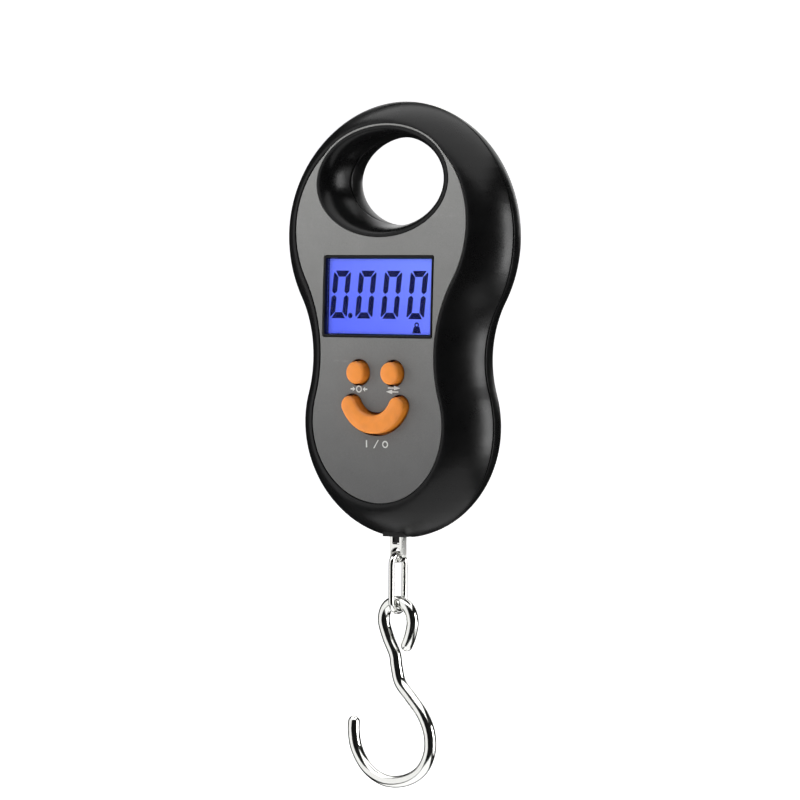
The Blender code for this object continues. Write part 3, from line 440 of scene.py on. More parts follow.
def hole_solid(name, side, depth, rim_a, rim_b, grow=0.0):
    """The finger hole's space on one side of the seam, flaring from the neck to the rim."""
    seam_grooves = [(-1.0, SEAM_ROUND), (SEAM, SEAM_ROUND), (SEAM + 0.06, 0.08), (SEAM + SEAM_ROUND, 0.0)]
    rings = [[(x, side * y, z) for x, z in ellipse(NECK_A + grow + out, NECK_B + grow + out, 0.0)]
             for y, out in seam_grooves]
    for i in range(1, SHOULDER_STEPS + 2):
        reach = min(i / SHOULDER_STEPS, 1.0)
        angle = QUARTER * reach
        y = depth * math.sin(angle) + (2.0 if i > SHOULDER_STEPS else 0.0)
        flare = 1 - math.cos(angle)
        a, b = NECK_A + (rim_a - NECK_A) * flare, NECK_B + (rim_b - NECK_B) * flare
        rings.append([(x, side * y, z) for x, z in ellipse(a + grow, b + grow, RIM_Z * flare)])
    return loft(name, rings)


def lower(obj):
    """Lowers a front piece's points to the bowed face."""
    for vertex in obj.data.vertices:
        if vertex.co.y < 0:
            fall = (vertex.co.z / MM - CROWN_Z) ** 2 / (2 * BOW_R)
            vertex.co.y *= 1 - fall / FRONT_DEPTH
    return obj


def bow(obj):
    """Bends a front piece lengthwise, in bands narrow enough to look smooth."""
    made = bmesh.new()
    made.from_mesh(obj.data)
    level = BODY_LOW_Z - BODY_LOW_R + BOW_BAND / 2
    while level < BODY_TOP_Z + BODY_TOP_R:
        geometry = made.verts[:] + made.edges[:] + made.faces[:]
        bmesh.ops.bisect_plane(made, geom=geometry, plane_co=(0, 0, level * MM), plane_no=(0, 0, 1),
                               dist=0.002 * MM)
        level += BOW_BAND
    made.to_mesh(obj.data)
    made.free()
    return lower(obj)


def mirrored(pairs):
    return [(side * x, z) for x, z in pairs for side in (1, -1)]


def front_solid(name, skin=0.0, rounding=SEAM_ROUND):
    return shoulder(name, lambda g: body_outline(g - skin),
                    lambda g: plate_outline(g + GAP + PLATE_LIP - skin),
                    FRONT_DEPTH - skin, FRONT_FULLNESS, -1, SEAM, rounding)


def rear_solid(name, skin=0.0, rounding=SEAM_ROUND):
    return shoulder(name, lambda g: body_outline(g - skin), lambda g: rear_face_outline(g - skin),
                    REAR_DEPTH - skin, REAR_FULLNESS, 1, SEAM, rounding)


def slot_cutter():
    return box("slot", (-SLOT_HALF_WIDTH, SLOT_HALF_WIDTH), (SLOT_FRONT, SLOT_BACK), (-100, SLOT_TOP))


def button_cutters(clearance, back):
    """Rounded holes for the buttons, through to y = -back."""
    holes = [routed(f"button_hole_{side}",
                    lambda g, x=side * BUTTON_X: circle(x, BUTTON_Z, BUTTON_R + clearance + g), back)
             for side in (-1, 1)]
    return holes + [routed("smile_hole", lambda g: smile_outline(clearance + g), back)]


def rim(grow):
    return lambda g: ellipse(RIM_A + grow + g, RIM_B + grow + g, RIM_Z)


def front_shell():
    shell = front_solid("front_shell")
    cavity = shoulder("cavity", lambda g: body_outline(g - WALL),
                      lambda g: plate_outline(g + GAP + PLATE_LIP - WALL),
                      FLOOR_BACK, FRONT_FULLNESS, -1, -1.0, 0)
    cut(cavity, hole_solid("tunnel", -1, FRONT_DEPTH, RIM_A, RIM_B, HOLE_WALL))
    cut(shell, cavity)
    boss_end = -FLOOR_BACK - 0.5
    bosses = (rods("boss", SCREWS_XZ, BOSS_R, -SEAM, boss_end, 24)
              + rods("board_boss", BOARD_SCREWS_XZ, BOARD_BOSS_R, BOARD_Y[0] - GAP, boss_end, 24))
    for boss in bosses:
        meet(boss, front_solid("limit", WALL / 2, 0))
    tongue = prism_y("tongue", body_outline(-TONGUE_INSET), -1.2, TONGUE_REACH)
    cut(tongue, prism_y("tongue_inside", body_outline(-TONGUE_INSET - TONGUE_WIDTH), -2.0, 1.0))
    join(shell, tongue, *bosses)
    pocket = routed("pocket", lambda g: plate_outline(GAP + g), FLOOR_FRONT, 0.1)
    strip_way = RIM_LIP + STRIP_WIDTH + 2 * FINE_GAP
    join(pocket, routed("strip_way", rim(strip_way), FLOOR_FRONT + 0.01, 0.05))
    cut(pocket, raised("rim_lip", rim(RIM_LIP), FLOOR_FRONT - 1, FRONT_DEPTH + 0.001),
        raised("window_lip", lambda g: window_outline(GAP - g), FLOOR_FRONT - 1, FRONT_DEPTH + 0.001, 0.1))
    cut(shell, hole_solid("hole", -1, FRONT_DEPTH, RIM_A, RIM_B), pocket, slot_cutter(),
        routed("window", lambda g: window_outline(GAP + WINDOW_LIP - g), FLOOR_BACK - 1, 0.1),
        *button_cutters(BUTTON_CLEARANCE, FLOOR_BACK - 1),
        *rods("pilot", SCREWS_XZ, SCREW_R + GAP, 1, PILOT_END_Y, 16),
        *rods("board_pilot", BOARD_SCREWS_XZ, BOARD_PILOT_R, 0, BOARD_PILOT_END_Y, 16))
    return shade(bow(shell))


def bay_box(name, side, grow, rear):
    x = sorted((side * (BAY_X[0] - grow), side * (BAY_X[1] + grow)))
    return box(name, x, (BAY_FRONT - grow, rear), (BAY_BOTTOM - grow, BAY_TOP + grow))


def door_solid(name, grow=0.0):
    """The battery door: the housing's own wall inside a round-cornered outline, open at the bottom."""
    door = shoulder(name, lambda g: body_outline(g + 2 * grow), lambda g: rear_face_outline(g + 2 * grow),
                    REAR_DEPTH + 2 * grow, REAR_FULLNESS, 1, SEAM, 0)
    half = DOOR_HALF_WIDTH + grow
    meet(door, prism_y("outline", rounded_rectangle((-half, half), (-120, DOOR_TOP + grow), 2.0),
                       DOOR_LOW_Y - grow, REAR_DEPTH + 2))
    inside = shoulder("inside", lambda g: body_outline(g - WALL - grow),
                      lambda g: rear_face_outline(g - WALL - grow),
                      DOOR_INNER_Y - grow, REAR_FULLNESS, 1, -1.0, 0)
    return cut(door, inside)


def latch_way():
    top = DOOR_TOP + LATCH_REACH + GAP
    outline = [(LATCH_Y[0] - GAP, BAY_BOTTOM - 3), (DOOR_INNER_Y - 0.1, BAY_BOTTOM - 3),
               (DOOR_INNER_Y - 0.1, DOOR_TOP - 0.5), (LATCH_Y[1] + GAP, DOOR_TOP - 0.5),
               (LATCH_Y[1] + GAP, top), (LATCH_Y[0] - GAP, top)]
    return loft("latch_way", [[(x, y, z) for y, z in outline]
                              for x in (-LATCH_HALF_WIDTH - GAP, LATCH_HALF_WIDTH + GAP)])


def rear_shell():
    shell = rear_solid("rear_shell")
    cavity = shoulder("cavity", lambda g: body_outline(g - WALL), lambda g: rear_face_outline(g - WALL / 2),
                      REAR_DEPTH - WALL, REAR_FULLNESS, 1, -1.0, 0)
    cut(cavity, hole_solid("tunnel", 1, REAR_DEPTH, REAR_RIM_A, REAR_RIM_B, HOLE_WALL))
    cut(shell, cavity)
    deck_back = DOOR_INNER_Y - GAP
    deck = box("deck", (-DOOR_HALF_WIDTH - 1.4, DOOR_HALF_WIDTH + 1.4),
               (deck_back - DECK_THICKNESS, deck_back), (BAY_BOTTOM - 1.5, DOOR_TOP + 1.6))
    bays = [bay_box(f"bay_{side}", side, BAY_WALL, deck_back - 0.6) for side in (-1, 1)]
    posts = rods("post", SCREWS_XZ, POST_R, SEAM, REAR_DEPTH - 0.3, 32)
    for piece in [deck, *posts]:
        meet(piece, rear_solid("limit", WALL / 2, 0))
    join(shell, deck, *bays, *posts)
    spaces = [bay_box(f"space_{side}", side, 0.0, REAR_DEPTH + 2) for side in (-1, 1)]
    edge_ways = [box(f"edge_way_{side}", sorted(side * x for x in EDGE_WAY_X), EDGE_WAY_Y,
                     (BAY_BOTTOM - 3, DOOR_TOP - 3)) for side in (-1, 1)]
    strap_way = box("strap_way", (-BATTERY_X, BATTERY_X), (4.0 - GAP, 7.0 + GAP),
                    (BAY_BOTTOM, BAY_BOTTOM + 1.0))
    cut(shell, hole_solid("hole", 1, REAR_DEPTH, REAR_RIM_A, REAR_RIM_B), *spaces,
        door_solid("opening", GAP), strap_way, *edge_ways,
        *rods("seat", SCREWS_XZ, SCREW_HEAD_R + GAP, SCREW_SEAT_Y, REAR_DEPTH + 2, 40),
        *rods("pilot", SCREWS_XZ, SCREW_R + GAP, -1, REAR_DEPTH + 2, 16), latch_way(), slot_cutter())
    return shade(bevel(shell, BACK_BEVEL))


def door_piece():
    """The door with its grip grooves, an arrow that points the way it slides, and its latch tongue."""
    door = door_solid("door_cover")
    depth = (REAR_DEPTH - 0.4, REAR_DEPTH + 1)
    grooves = [box(f"groove_{i}", (-6.0, 6.0), depth, (DOOR_TOP - 3.0 - 1.6 * i, DOOR_TOP - 2.2 - 1.6 * i))
               for i in range(GRIP_GROOVES)]
    tip, reach, width = DOOR_TOP - 15.4, 3.0, 1.0
    chevron = [(0, tip), (reach, tip + reach), (reach - width, tip + reach), (0, tip + width),
               (width - reach, tip + reach), (-reach, tip + reach)]
    cut(door, prism_y("arrow", chevron, *depth), *grooves)
    join(door, box("latch", (-LATCH_HALF_WIDTH, LATCH_HALF_WIDTH), LATCH_Y,
                   (DOOR_TOP - 2, DOOR_TOP + LATCH_REACH)))
    return shade(bevel(door, BACK_BEVEL))


def plate_skin():
    plate = raised("plate_skin", plate_outline, PLATE_BACK)
    lip = RIM_LIP + FINE_GAP
    join(plate, raised("strip", rim(lip + STRIP_WIDTH), PLATE_BACK + 0.01, FRONT_DEPTH - 0.01, 0.1))
    cut(plate, routed("hole", rim(lip), PLATE_BACK - 1, 0.1),
        routed("window", lambda g: window_outline(-g), PLATE_BACK - 1),
        *button_cutters(BUTTON_CLEARANCE + 0.15, PLATE_BACK - 1))
    return shade(bow(plate))


# ---- display, buttons and labels

def display_pieces():
    cover = lower(prism_y("window_lens", window_outline(2 * GAP + WINDOW_LIP), *COVER_Y))
    cell = lower(prism_y("lit_cell", window_outline(2 * GAP + WINDOW_LIP), *CELL_Y))
    return shade(bevel(cover, 0.08)), shade(cell)


def segments(width, height, stroke, gap=0.16, tip=0.45):
    """The six lit strokes of a seven-segment zero, as (x, z) outlines."""
    w, h, s, g = width, height, stroke, gap
    top = [(tip + g, h), (w - tip - g, h), (w - s - g / 2, h - s), (s + g / 2, h - s)]
    upper = [(0, h - tip - g), (0, h / 2 + s / 2), (s / 2, h / 2 + g), (s, h / 2 + s / 2), (s, h - s - g),
             (tip * 0.7, h - tip * 0.7 - g)]
    bottom = [(x, h - z) for x, z in top]
    lower_left = [(x, h - z) for x, z in upper]
    return [top, bottom] + [side for stroke_left in (upper, lower_left)
                            for side in (stroke_left, [(w - x, z) for x, z in stroke_left])]


def printed(name, outlines, front):
    """Thin closed marks, just proud of y = -front, lowered to the bowed face."""
    pieces = [prism_y(f"{name}_{i}", outline, -front - INK, -front + INK / 2)
              for i, outline in enumerate(outlines)]
    made = bmesh.new()
    for piece in pieces:
        made.from_mesh(piece.data)
        bpy.data.objects.remove(piece)
    mesh = bpy.data.meshes.new(name)
    made.to_mesh(mesh)
    made.free()
    obj = bpy.data.objects.new(name, mesh)
    bpy.context.scene.collection.objects.link(obj)
    return lower(obj)


def digits():
    outlines = []
    for k in range(4):
        for outline in segments(DIGIT_W, DIGIT_H, STROKE):
            outlines.append([(DIGIT_LEFT + PITCH * k + x + (z - DIGIT_H / 2) * SLANT, DIGIT_BASE + z)
                             for x, z in outline])
    point_x = DIGIT_LEFT + DIGIT_W + POINT_GAP - DIGIT_H / 2 * SLANT
    outlines.append(circle(point_x, DIGIT_BASE + POINT_Z, POINT_R, 20))
    return printed("display_digits", outlines, -CELL_Y[0] + INK)


def weight_icon(x, z, size):
    """A trapezoid weight under a ring, in place of the unit."""
    body = [(x - 0.50 * size, z), (x + 0.50 * size, z), (x + 0.34 * size, z + 0.62 * size),
            (x - 0.34 * size, z + 0.62 * size)]
    ring = band(x, z + 0.80 * size, 0.20 * size, 0.07 * size, 0, 2 * HALF)
    return [body, ring]


def band(x, z, radius, half, start, end, steps=24):
    """A stroke along an arc, as one outline. A full turn is left open by a hair."""
    end = min(end, start + 2 * HALF - 0.02)
    turns = [start + (end - start) * i / steps for i in range(steps + 1)]
    return [(x + r * math.cos(t), z + r * math.sin(t))
            for r, way in ((radius + half, turns), (radius - half, turns[::-1])) for t in way]


def arrow_right(x, z, length, half, flip=1):
    """A small arrow, which flip = -1 turns round."""
    points = [(0, half * 0.3), (length * 0.5, half * 0.3), (length * 0.5, half), (length, 0),
              (length * 0.5, -half), (length * 0.5, -half * 0.3), (0, -half * 0.3)]
    return [(x + flip * (px - length / 2), z + pz) for px, pz in points]


def labels():
    """Printed marks under the buttons: zero, change-over, and the on and off strokes."""
    x, z = -BUTTON_X, BUTTON_MARKS_Z
    tare = [band(x, z, MARK_R, STROKE_HALF, 0, 2 * HALF), arrow_right(x - 2.0, z, 1.5, 0.65),
            arrow_right(x + 2.0, z, 1.5, 0.65, -1)]
    x = BUTTON_X
    unit = [arrow_right(x + 0.3, z + 0.5, 4.0, 0.6), arrow_right(x - 0.3, z - 0.5, 4.0, 0.6, -1)]
    z = POWER_MARKS_Z
    power = [[(-3.4, z - 0.95), (-3.0, z - 0.95), (-3.0, z + 0.95), (-3.4, z + 0.95)],
             [(-1.0, z - 1.1), (-0.65, z - 1.1), (0.85, z + 1.1), (0.5, z + 1.1)],
             band(2.9, z, MARK_R, STROKE_HALF, 0, 2 * HALF)]
    return printed("button_marks", tare + unit + power, FRONT_DEPTH)


def cap(name, outline, stem_x, stem_z, hollow=0.12):
    """A button: rounded cap with a slightly crowned face, flange and stem."""
    front, flange_y = FRONT_DEPTH + BUTTON_RISE, -FLOOR_BACK + GAP
    rings = [[(x, flange_y + CAP_ROOT, z) for x, z in outline(0.0)]]
    for out, down in reversed(quarter_round(BUTTON_ROUND, 6)):
        y = -front + hollow + down * (1 - hollow / BUTTON_ROUND)
        rings.append([(x, y, z) for x, z in outline(-out)])
    for share in (0.35, 0.7):
        grow = -BUTTON_ROUND - (BUTTON_R - BUTTON_ROUND) * share * 0.8
        rings.append([(x, -front + hollow * (1 - share) ** 2, z) for x, z in outline(grow)])
    made = loft(name, rings)
    flange_end = flange_y + FLANGE_THICKNESS
    stem_end = BOARD_Y[0] - GAP - DOME_HEIGHT - GAP - PRESS_TRAVEL
    join(made, prism_y("flange", outline(FLANGE_REACH), flange_y, flange_end),
         rod("stem", STEM_R, (stem_x, flange_end - 0.2, stem_z), (stem_x, stem_end, stem_z)))
    return shade(made)


def caps():
    made = [cap(name, lambda g, x=x: circle(x, BUTTON_Z, BUTTON_R + g, 56), x, BUTTON_Z)
            for name, x in (("tare_cap", -BUTTON_X), ("unit_cap", BUTTON_X))]
    return made + [cap("power_cap", smile_outline, 0, SMILE_Z - SMILE_R)]


# ---- metal pieces

def hanger_tab():
    half, eye = HANGER_HALF_WIDTH, HANGER_EYE_Z - 0.5
    outline = arc((0, eye), half, HALF, 2 * HALF, 24)
    outline += [(half, eye), (half, HANGER_TOP), (-half, HANGER_TOP)]
    front, back = HANG_Y - HANGER_THICKNESS / 2, HANG_Y + HANGER_THICKNESS / 2
    tab = prism_y("hanger_tab", outline, front, back)
    cut(tab, box("fork", (-1.0, 1.0), (front - 1, back + 1), (HANGER_SLOT_Z, HANGER_TOP + 1)),
        prism_y("eye", circle(0, HANGER_EYE_Z, HANGER_EYE_R), front - 1, back + 1),
        rod("pin_hole", PIN_R + GAP, (-4, HANG_Y, PIN_Z), (4, HANG_Y, PIN_Z)))
    return shade(bevel(tab, 0.18, 3))


def link_ring():
    radius = LINK_HALF_WIDTH
    top, bottom = LINK_TOP_Z - radius, LINK_BOTTOM_Z + radius
    side = [bottom + (top - bottom) * i / 8 for i in range(1, 8)]
    path = (arc((HANG_Y, top), radius, 0, HALF, 32) + [(HANG_Y - radius, z) for z in [top] + side[::-1]]
            + arc((HANG_Y, bottom), radius, HALF, 2 * HALF, 32)
            + [(HANG_Y + radius, z) for z in [bottom] + side])
    return shade(swept("link_ring", [(0, y, z) for y, z in path], LINK_WIRE_R, 24, closed=True))


HOOK_POINTS = (  # centreline in the XZ plane, from the closing end of the eye to the tip
    (2.3, -12.6), (4.0, -9.0), (4.8, -5.0), (3.4, -1.45), (0.0, 0.0), (-3.4, -1.45), (-4.7, -5.0),
    (-3.3, -9.6), (-1.1, -14.0), (-0.5, -17.5), (0.7, -21.6), (4.2, -25.4), (7.9, -29.6),
    (10.1, -34.4), (10.1, -39.7), (7.3, -44.6), (2.0, -47.5), (-4.5, -47.9), (-10.2, -45.2),
    (-13.8, -40.4), (-14.9, -35.6), (-14.7, -31.8))


def hook_wire():
    """J-hook whose wire is bent into an eye. It is turned so that it hangs balanced under its eye."""
    flat = [(x, 0, z) for x, z in HOOK_POINTS]
    coarse = smooth_path(flat, 2)
    lengths = [((a + b) / 2, (b - a).length) for a, b in zip(coarse, coarse[1:])]
    centre = sum((middle * length for middle, length in lengths), Vector()) / sum(n for _, n in lengths)
    level = Matrix.Rotation(-math.atan2(centre.x, -centre.z), 3, "Y")
    level.invert()
    path = [level @ p + Vector((0, HANG_Y, HOOK_TOP_Z)) for p in smooth_path(flat, 10)]
    inset = 3  # points dropped at each end, which the domes take up
    return shade(swept("hook_wire", path[inset:-inset], HOOK_WIRE_R, 32, rounded=True))


def cross_screw(name, x, z):
    """Pan-head housing screw with a cross recess."""
    seat, head, r = SCREW_SEAT_Y + GAP, SCREW_HEAD_H, SCREW_HEAD_R
    profile = [(r * 0.2, head), (r * 0.55, head * 0.97), (r * 0.8, head * 0.85), (r * 0.95, head * 0.6),
               (r, head * 0.3), (r, 0), (SCREW_R, 0), (SCREW_R, -10.6), (0.4, -11.2)]
    screw = turned(name, profile, (x, seat, z), (0, 1, 0), 48)
    depth = (seat + head - 0.9, seat + head + 1)
    cut(screw, box("slot_a", (x - 1.25, x + 1.25), depth, (z - 0.28, z + 0.28)),
        box("slot_b", (x - 0.28, x + 0.28), depth, (z - 1.25, z + 1.25)))
    return shade(bevel(screw, 0.06))


def battery_cell(name, node, side, up):
    """A plain AAA cell: crimped can, wrap and contact nub."""
    low, high = in_mm(node)
    length, r = high.z - low.z, BATTERY_R
    profile = [(r - 1.1, 0.0), (r - 0.35, 0.05), (r - 0.08, 0.3), (r - 0.08, 0.5), (r, 0.55),
               (r, length - 2.1), (r - 0.08, length - 2.05), (r - 0.1, length - 1.5),
               (r - 0.5, length - 1.2), (2.05, length - 1.2), (1.95, length - 0.2), (1.7, length)]
    start = (side * BATTERY_X, BATTERY_Y, low.z if up > 0 else high.z)
    return shade(turned(name, profile, start, (0, 0, up), 64), 50)


def coil(name, node, x, turns=4, steps=28, wire_r=0.25):
    """Conical contact spring, wide end on its plate."""
    low, high = in_mm(node)
    rise, path = high.z - low.z - 2 * wire_r, []
    for i in range(turns * steps + 1):
        part = i / (turns * steps)
        angle, radius = 2 * math.pi * turns * part, 3.6 - 1.4 * part
        height = part if x < 0 else 1 - part
        path.append((x + radius * math.cos(angle), BATTERY_Y + radius * math.sin(angle),
                     low.z + wire_r + rise * height))
    return shade(swept(name, path, wire_r, 10))


# ---- materials

class Nodes:
    """Short forms for building one material's nodes. Its textures are in millimetres of object space."""

    def __init__(self, name):
        self.material = bpy.data.materials.new(name)
        self.material.use_nodes = True
        self.tree = self.material.node_tree
        self.shader = self.tree.nodes["Principled BSDF"]
        place = self.node("TexCoord").outputs["Object"]
        self.place = self.node("Mapping", Vector=place, Scale=(1 / MM, 1 / MM, 1 / MM)).outputs["Vector"]

    def put(self, value, socket):
        """Links a node's output to the socket, or sets a number, vector or colour on it."""
        if isinstance(value, bpy.types.NodeSocket):
            self.tree.links.new(value, socket)
        else:
            socket.default_value = (*value, 1.0) if socket.type == "RGBA" else value

    def fill(self, node, **inputs):
        for name, value in inputs.items():
            self.put(value, node.inputs[name.replace("_", " ")])
        return node

    def node(self, kind, **inputs):
        return self.fill(self.tree.nodes.new("ShaderNode" + kind), **inputs)

    def set(self, **inputs):
        self.fill(self.shader, **inputs)

    def noise(self, scale, detail=3.0, rough=0.55, stretch=None):
        vector = self.place
        if stretch:
            vector = self.node("Mapping", Vector=vector, Scale=stretch).outputs["Vector"]
        node = self.node("TexNoise", Vector=vector, Scale=scale, Detail=detail, Roughness=rough)
        return node.outputs["Fac"]

    def ramp(self, value, stops):
        """Colours or greys by value: stops are (position, grey or colour)."""
        node = self.node("ValToRGB", Fac=value)
        elements = node.color_ramp.elements
        while len(elements) < len(stops):
            elements.new(0.5)
        for element, (position, colour) in zip(elements, stops):
            element.position = position
            shown = colour if isinstance(colour, tuple) else (colour, colour, colour)
            element.color = (*shown, 1.0)
        return node.outputs["Color"]

    def map_range(self, value, low, high, to_low, to_high):
        node = self.node("MapRange", Value=value, From_Min=low, From_Max=high, To_Min=to_low, To_Max=to_high)
        return node.outputs["Result"]

    def drift(self, scale, detail, low, high):
        """A value that noise moves between low and high."""
        return self.map_range(self.noise(scale, detail), 0.3, 0.7, low, high)

    def axis(self, index):
        return self.node("SeparateXYZ", Vector=self.place).outputs[index]

    def maths(self, operation, a, b):
        node = self.node("Math")
        node.operation = operation
        self.put(a, node.inputs[0])
        self.put(b, node.inputs[1])
        return node.outputs["Value"]

    def mix(self, factor, a, b, blend="MIX"):
        node = self.node("Mix", Factor=factor)
        node.data_type = "RGBA"
        node.blend_type = blend
        for value, socket in zip((a, b), [s for s in node.inputs if s.type == "RGBA"]):
            self.put(value, socket)
        return next(socket for socket in node.outputs if socket.type == "RGBA")

    def bump(self, *layers):
        """layers are (height, distance in mm)."""
        normal = None
        for height, distance in layers:
            node = self.node("Bump", Height=height, Distance=distance * MM)
            if normal:
                self.put(normal, node.inputs["Normal"])
            normal = node.outputs["Normal"]
        self.set(Normal=normal)

    def finish(self, colour, roughness):
        self.set(Base_Color=colour, Roughness=roughness)
        return self.material


def edge_wear_and_highlight(nodes, low=0.52, high=0.60):
    """1 along sharp outer edges, broken up by noise: the mask for edge wear and for a highlight painted along the
    edges.
    """
    shape = nodes.node("NewGeometry").outputs["Pointiness"]
    edge = nodes.map_range(shape, low, high, 0.0, 1.0)
    patches = nodes.map_range(nodes.noise(0.9, 4.0), 0.45, 0.7, 0.0, 1.0)
    return nodes.maths("MULTIPLY", edge, patches)


def tinted(nodes, colour, spread, scale=0.15):
    """colour, varied in value by up to spread either way."""
    darker = tuple(c * (1 - spread) for c in colour)
    lighter = tuple(min(c * (1 + spread), 1.0) for c in colour)
    return nodes.ramp(nodes.noise(scale), [(0.3, darker), (0.7, lighter)])


def black_plastic():
    n = Nodes("moulded_black")
    n.set(Specular_IOR_Level=0.2)
    base = tinted(n, (0.0038, 0.0038, 0.0040), 0.15)
    # Sharp edges lightened towards dark grey: partly edge wear, partly a painted highlight along the rims.
    worn_and_highlit = n.mix(n.maths("MULTIPLY", edge_wear_and_highlight(n), 0.35), base, (0.020, 0.020, 0.021))
    smudge = n.map_range(n.noise(0.07, 5.0, 0.65), 0.35, 0.7, 0.25, 0.36)
    grain = n.noise(5.0, 2.0)
    n.bump((grain, 0.006), (n.noise(0.5, 2.0), 0.01))
    return n.finish(worn_and_highlit, n.maths("ADD", smudge, n.map_range(grain, 0.3, 0.7, -0.02, 0.03)))


def satin_grey():
    """Painted face plate: fine metallic grain over painted light and shade, light grey at the top and much darker
    towards the bottom.
    """
    n = Nodes("satin_grey_paint")
    n.set(Metallic=0.15, Specular_IOR_Level=0.4)
    # Painted light and shade: the plate's colour runs from dark at the bottom to light at the top, as light falls
    # on it.
    height = n.map_range(n.axis(2), -86.0, 8.0, 0.0, 1.0)
    tone = n.ramp(height, [(0.0, 0.086), (0.5, (0.168, 0.168, 0.164)), (1.0, (0.242, 0.242, 0.236))])
    flakes = n.ramp(n.noise(7.0, 2.0, 0.7), [(0.35, 0.86), (0.5, 1.0), (0.68, 1.16)])
    cloud = n.ramp(n.noise(0.12, 3.0), [(0.3, 0.96), (0.7, 1.04)])
    colour = n.mix(1.0, n.mix(1.0, tone, flakes, "MULTIPLY"), cloud, "MULTIPLY")
    # Sharp edges lightened towards pale grey: partly edge wear, partly a painted bevel highlight.
    worn_and_highlit = n.mix(n.maths("MULTIPLY", edge_wear_and_highlight(n), 0.15), colour, (0.42, 0.42, 0.41))
    n.bump((n.noise(6.0, 2.0), 0.004))
    return n.finish(worn_and_highlit, n.drift(0.3, 4.0, 0.40, 0.52))


def orange_rubber():
    n = Nodes("button_orange")
    n.set(Specular_IOR_Level=0.4)
    base = tinted(n, (0.80, 0.25, 0.022), 0.06, 0.4)
    # Sharp edges lightened towards pale orange: partly edge wear, partly a painted highlight.
    worn_and_highlit = n.mix(n.maths("MULTIPLY", edge_wear_and_highlight(n), 0.3), base, (0.95, 0.52, 0.18))
    n.bump((n.noise(5.0, 2.0), 0.006))
    return n.finish(worn_and_highlit, n.drift(0.8, 4.0, 0.40, 0.55))


def chrome():
    n = Nodes("chrome_plate")
    n.set(Metallic=1.0)
    base = tinted(n, (0.79, 0.79, 0.765), 0.03, 0.3)
    scratch = n.noise(3.0, 4.0, 0.6, (6.0, 6.0, 0.4))
    n.bump((scratch, 0.0015), (n.noise(0.35, 2.0), 0.006))
    smudge = n.map_range(n.noise(0.6, 5.0), 0.35, 0.75, 0.10, 0.18)
    return n.finish(base, smudge)


def metal(name, colour, low, high, stretch=None, distance=0.004):
    """Bare or plated metal with a drawn or milled grain."""
    n = Nodes(name)
    n.set(Metallic=1.0)
    grain = n.noise(2.5, 4.0, 0.6, stretch)
    base = n.mix(0.35, tinted(n, colour, 0.12, 0.6), n.ramp(grain, [(0.3, 0.55), (0.7, 0.95)]), "MULTIPLY")
    n.bump((grain, distance))
    return n.finish(base, n.drift(0.8, 4.0, low, high))


def plastic(name, colour, low, high, spread=0.08, specular=0.5, distance=0.006):
    """Moulded plastic, rubber or lacquer with a light grain."""
    n = Nodes(name)
    n.set(Specular_IOR_Level=specular)
    n.bump((n.noise(4.0, 3.0), distance))
    return n.finish(tinted(n, colour, spread, 0.5), n.drift(0.9, 4.0, low, high))


def circuit_lacquer():
    """Green solder mask with copper tracks showing through it."""
    n = Nodes("solder_mask")
    turned_place = n.node("Mapping", Vector=n.place, Rotation=(QUARTER, 0, 0)).outputs["Vector"]
    tracks = n.node("TexBrick", Vector=turned_place, Scale=0.45, Mortar_Size=0.03,
                    Color1=(0.016, 0.17, 0.06), Color2=(0.020, 0.20, 0.07), Mortar=(0.05, 0.32, 0.12))
    n.bump((tracks.outputs["Fac"], 0.02))
    return n.finish(tracks.outputs["Color"], n.drift(0.6, 3.0, 0.3, 0.45))


def lit_blue():
    """Backlit display: brightest towards its top right, darker along its edges."""
    n = Nodes("display_backlight")
    n.set(Emission_Strength=1.0, Specular_IOR_Level=0.08)
    across = n.map_range(n.axis(0), -17.0, 17.0, 0.0, 1.0)
    up = n.map_range(n.axis(2), WINDOW_BOTTOM, WINDOW_TOP, 0.0, 1.0)
    place = n.maths("ADD", n.maths("MULTIPLY", across, 0.5), n.maths("MULTIPLY", up, 0.5))
    glow = n.ramp(place, [(0.1, (0.092, 0.135, 0.86)), (0.5, (0.125, 0.175, 0.92)),
                          (0.95, (0.165, 0.24, 0.98))])
    side_x = n.map_range(n.maths("ABSOLUTE", n.axis(0), 0.0), 15.6, 17.2, 1.0, 0.62)
    from_middle = n.maths("SUBTRACT", n.axis(2), (WINDOW_TOP + WINDOW_BOTTOM) / 2)
    side_z = n.map_range(n.maths("ABSOLUTE", from_middle, 0.0), 8.9, 10.1, 1.0, 0.66)
    edge = n.maths("MULTIPLY", n.maths("MINIMUM", side_x, 1.0), n.maths("MINIMUM", side_z, 1.0))
    mottle = n.drift(0.35, 3.0, 0.96, 1.04)
    dim = n.maths("MULTIPLY", edge, mottle)
    shade_of = n.node("CombineColor", Red=dim, Green=dim, Blue=dim).outputs["Color"]
    n.set(Emission_Color=n.mix(1.0, glow, shade_of, "MULTIPLY"))
    n.bump((n.noise(3.0, 2.0), 0.002))
    return n.finish(n.mix(0.88, glow, (0.004, 0.005, 0.03)), n.drift(0.5, 2.0, 0.25, 0.35))


def clear_lens():
    n = Nodes("clear_acrylic")
    n.set(Transmission_Weight=1.0, IOR=1.12)
    n.bump((n.noise(0.2, 2.0), 0.002))
    haze = n.map_range(n.noise(0.4, 5.0), 0.4, 0.75, 0.0, 0.05)
    return n.finish(tinted(n, (0.97, 0.98, 1.0), 0.01), haze)


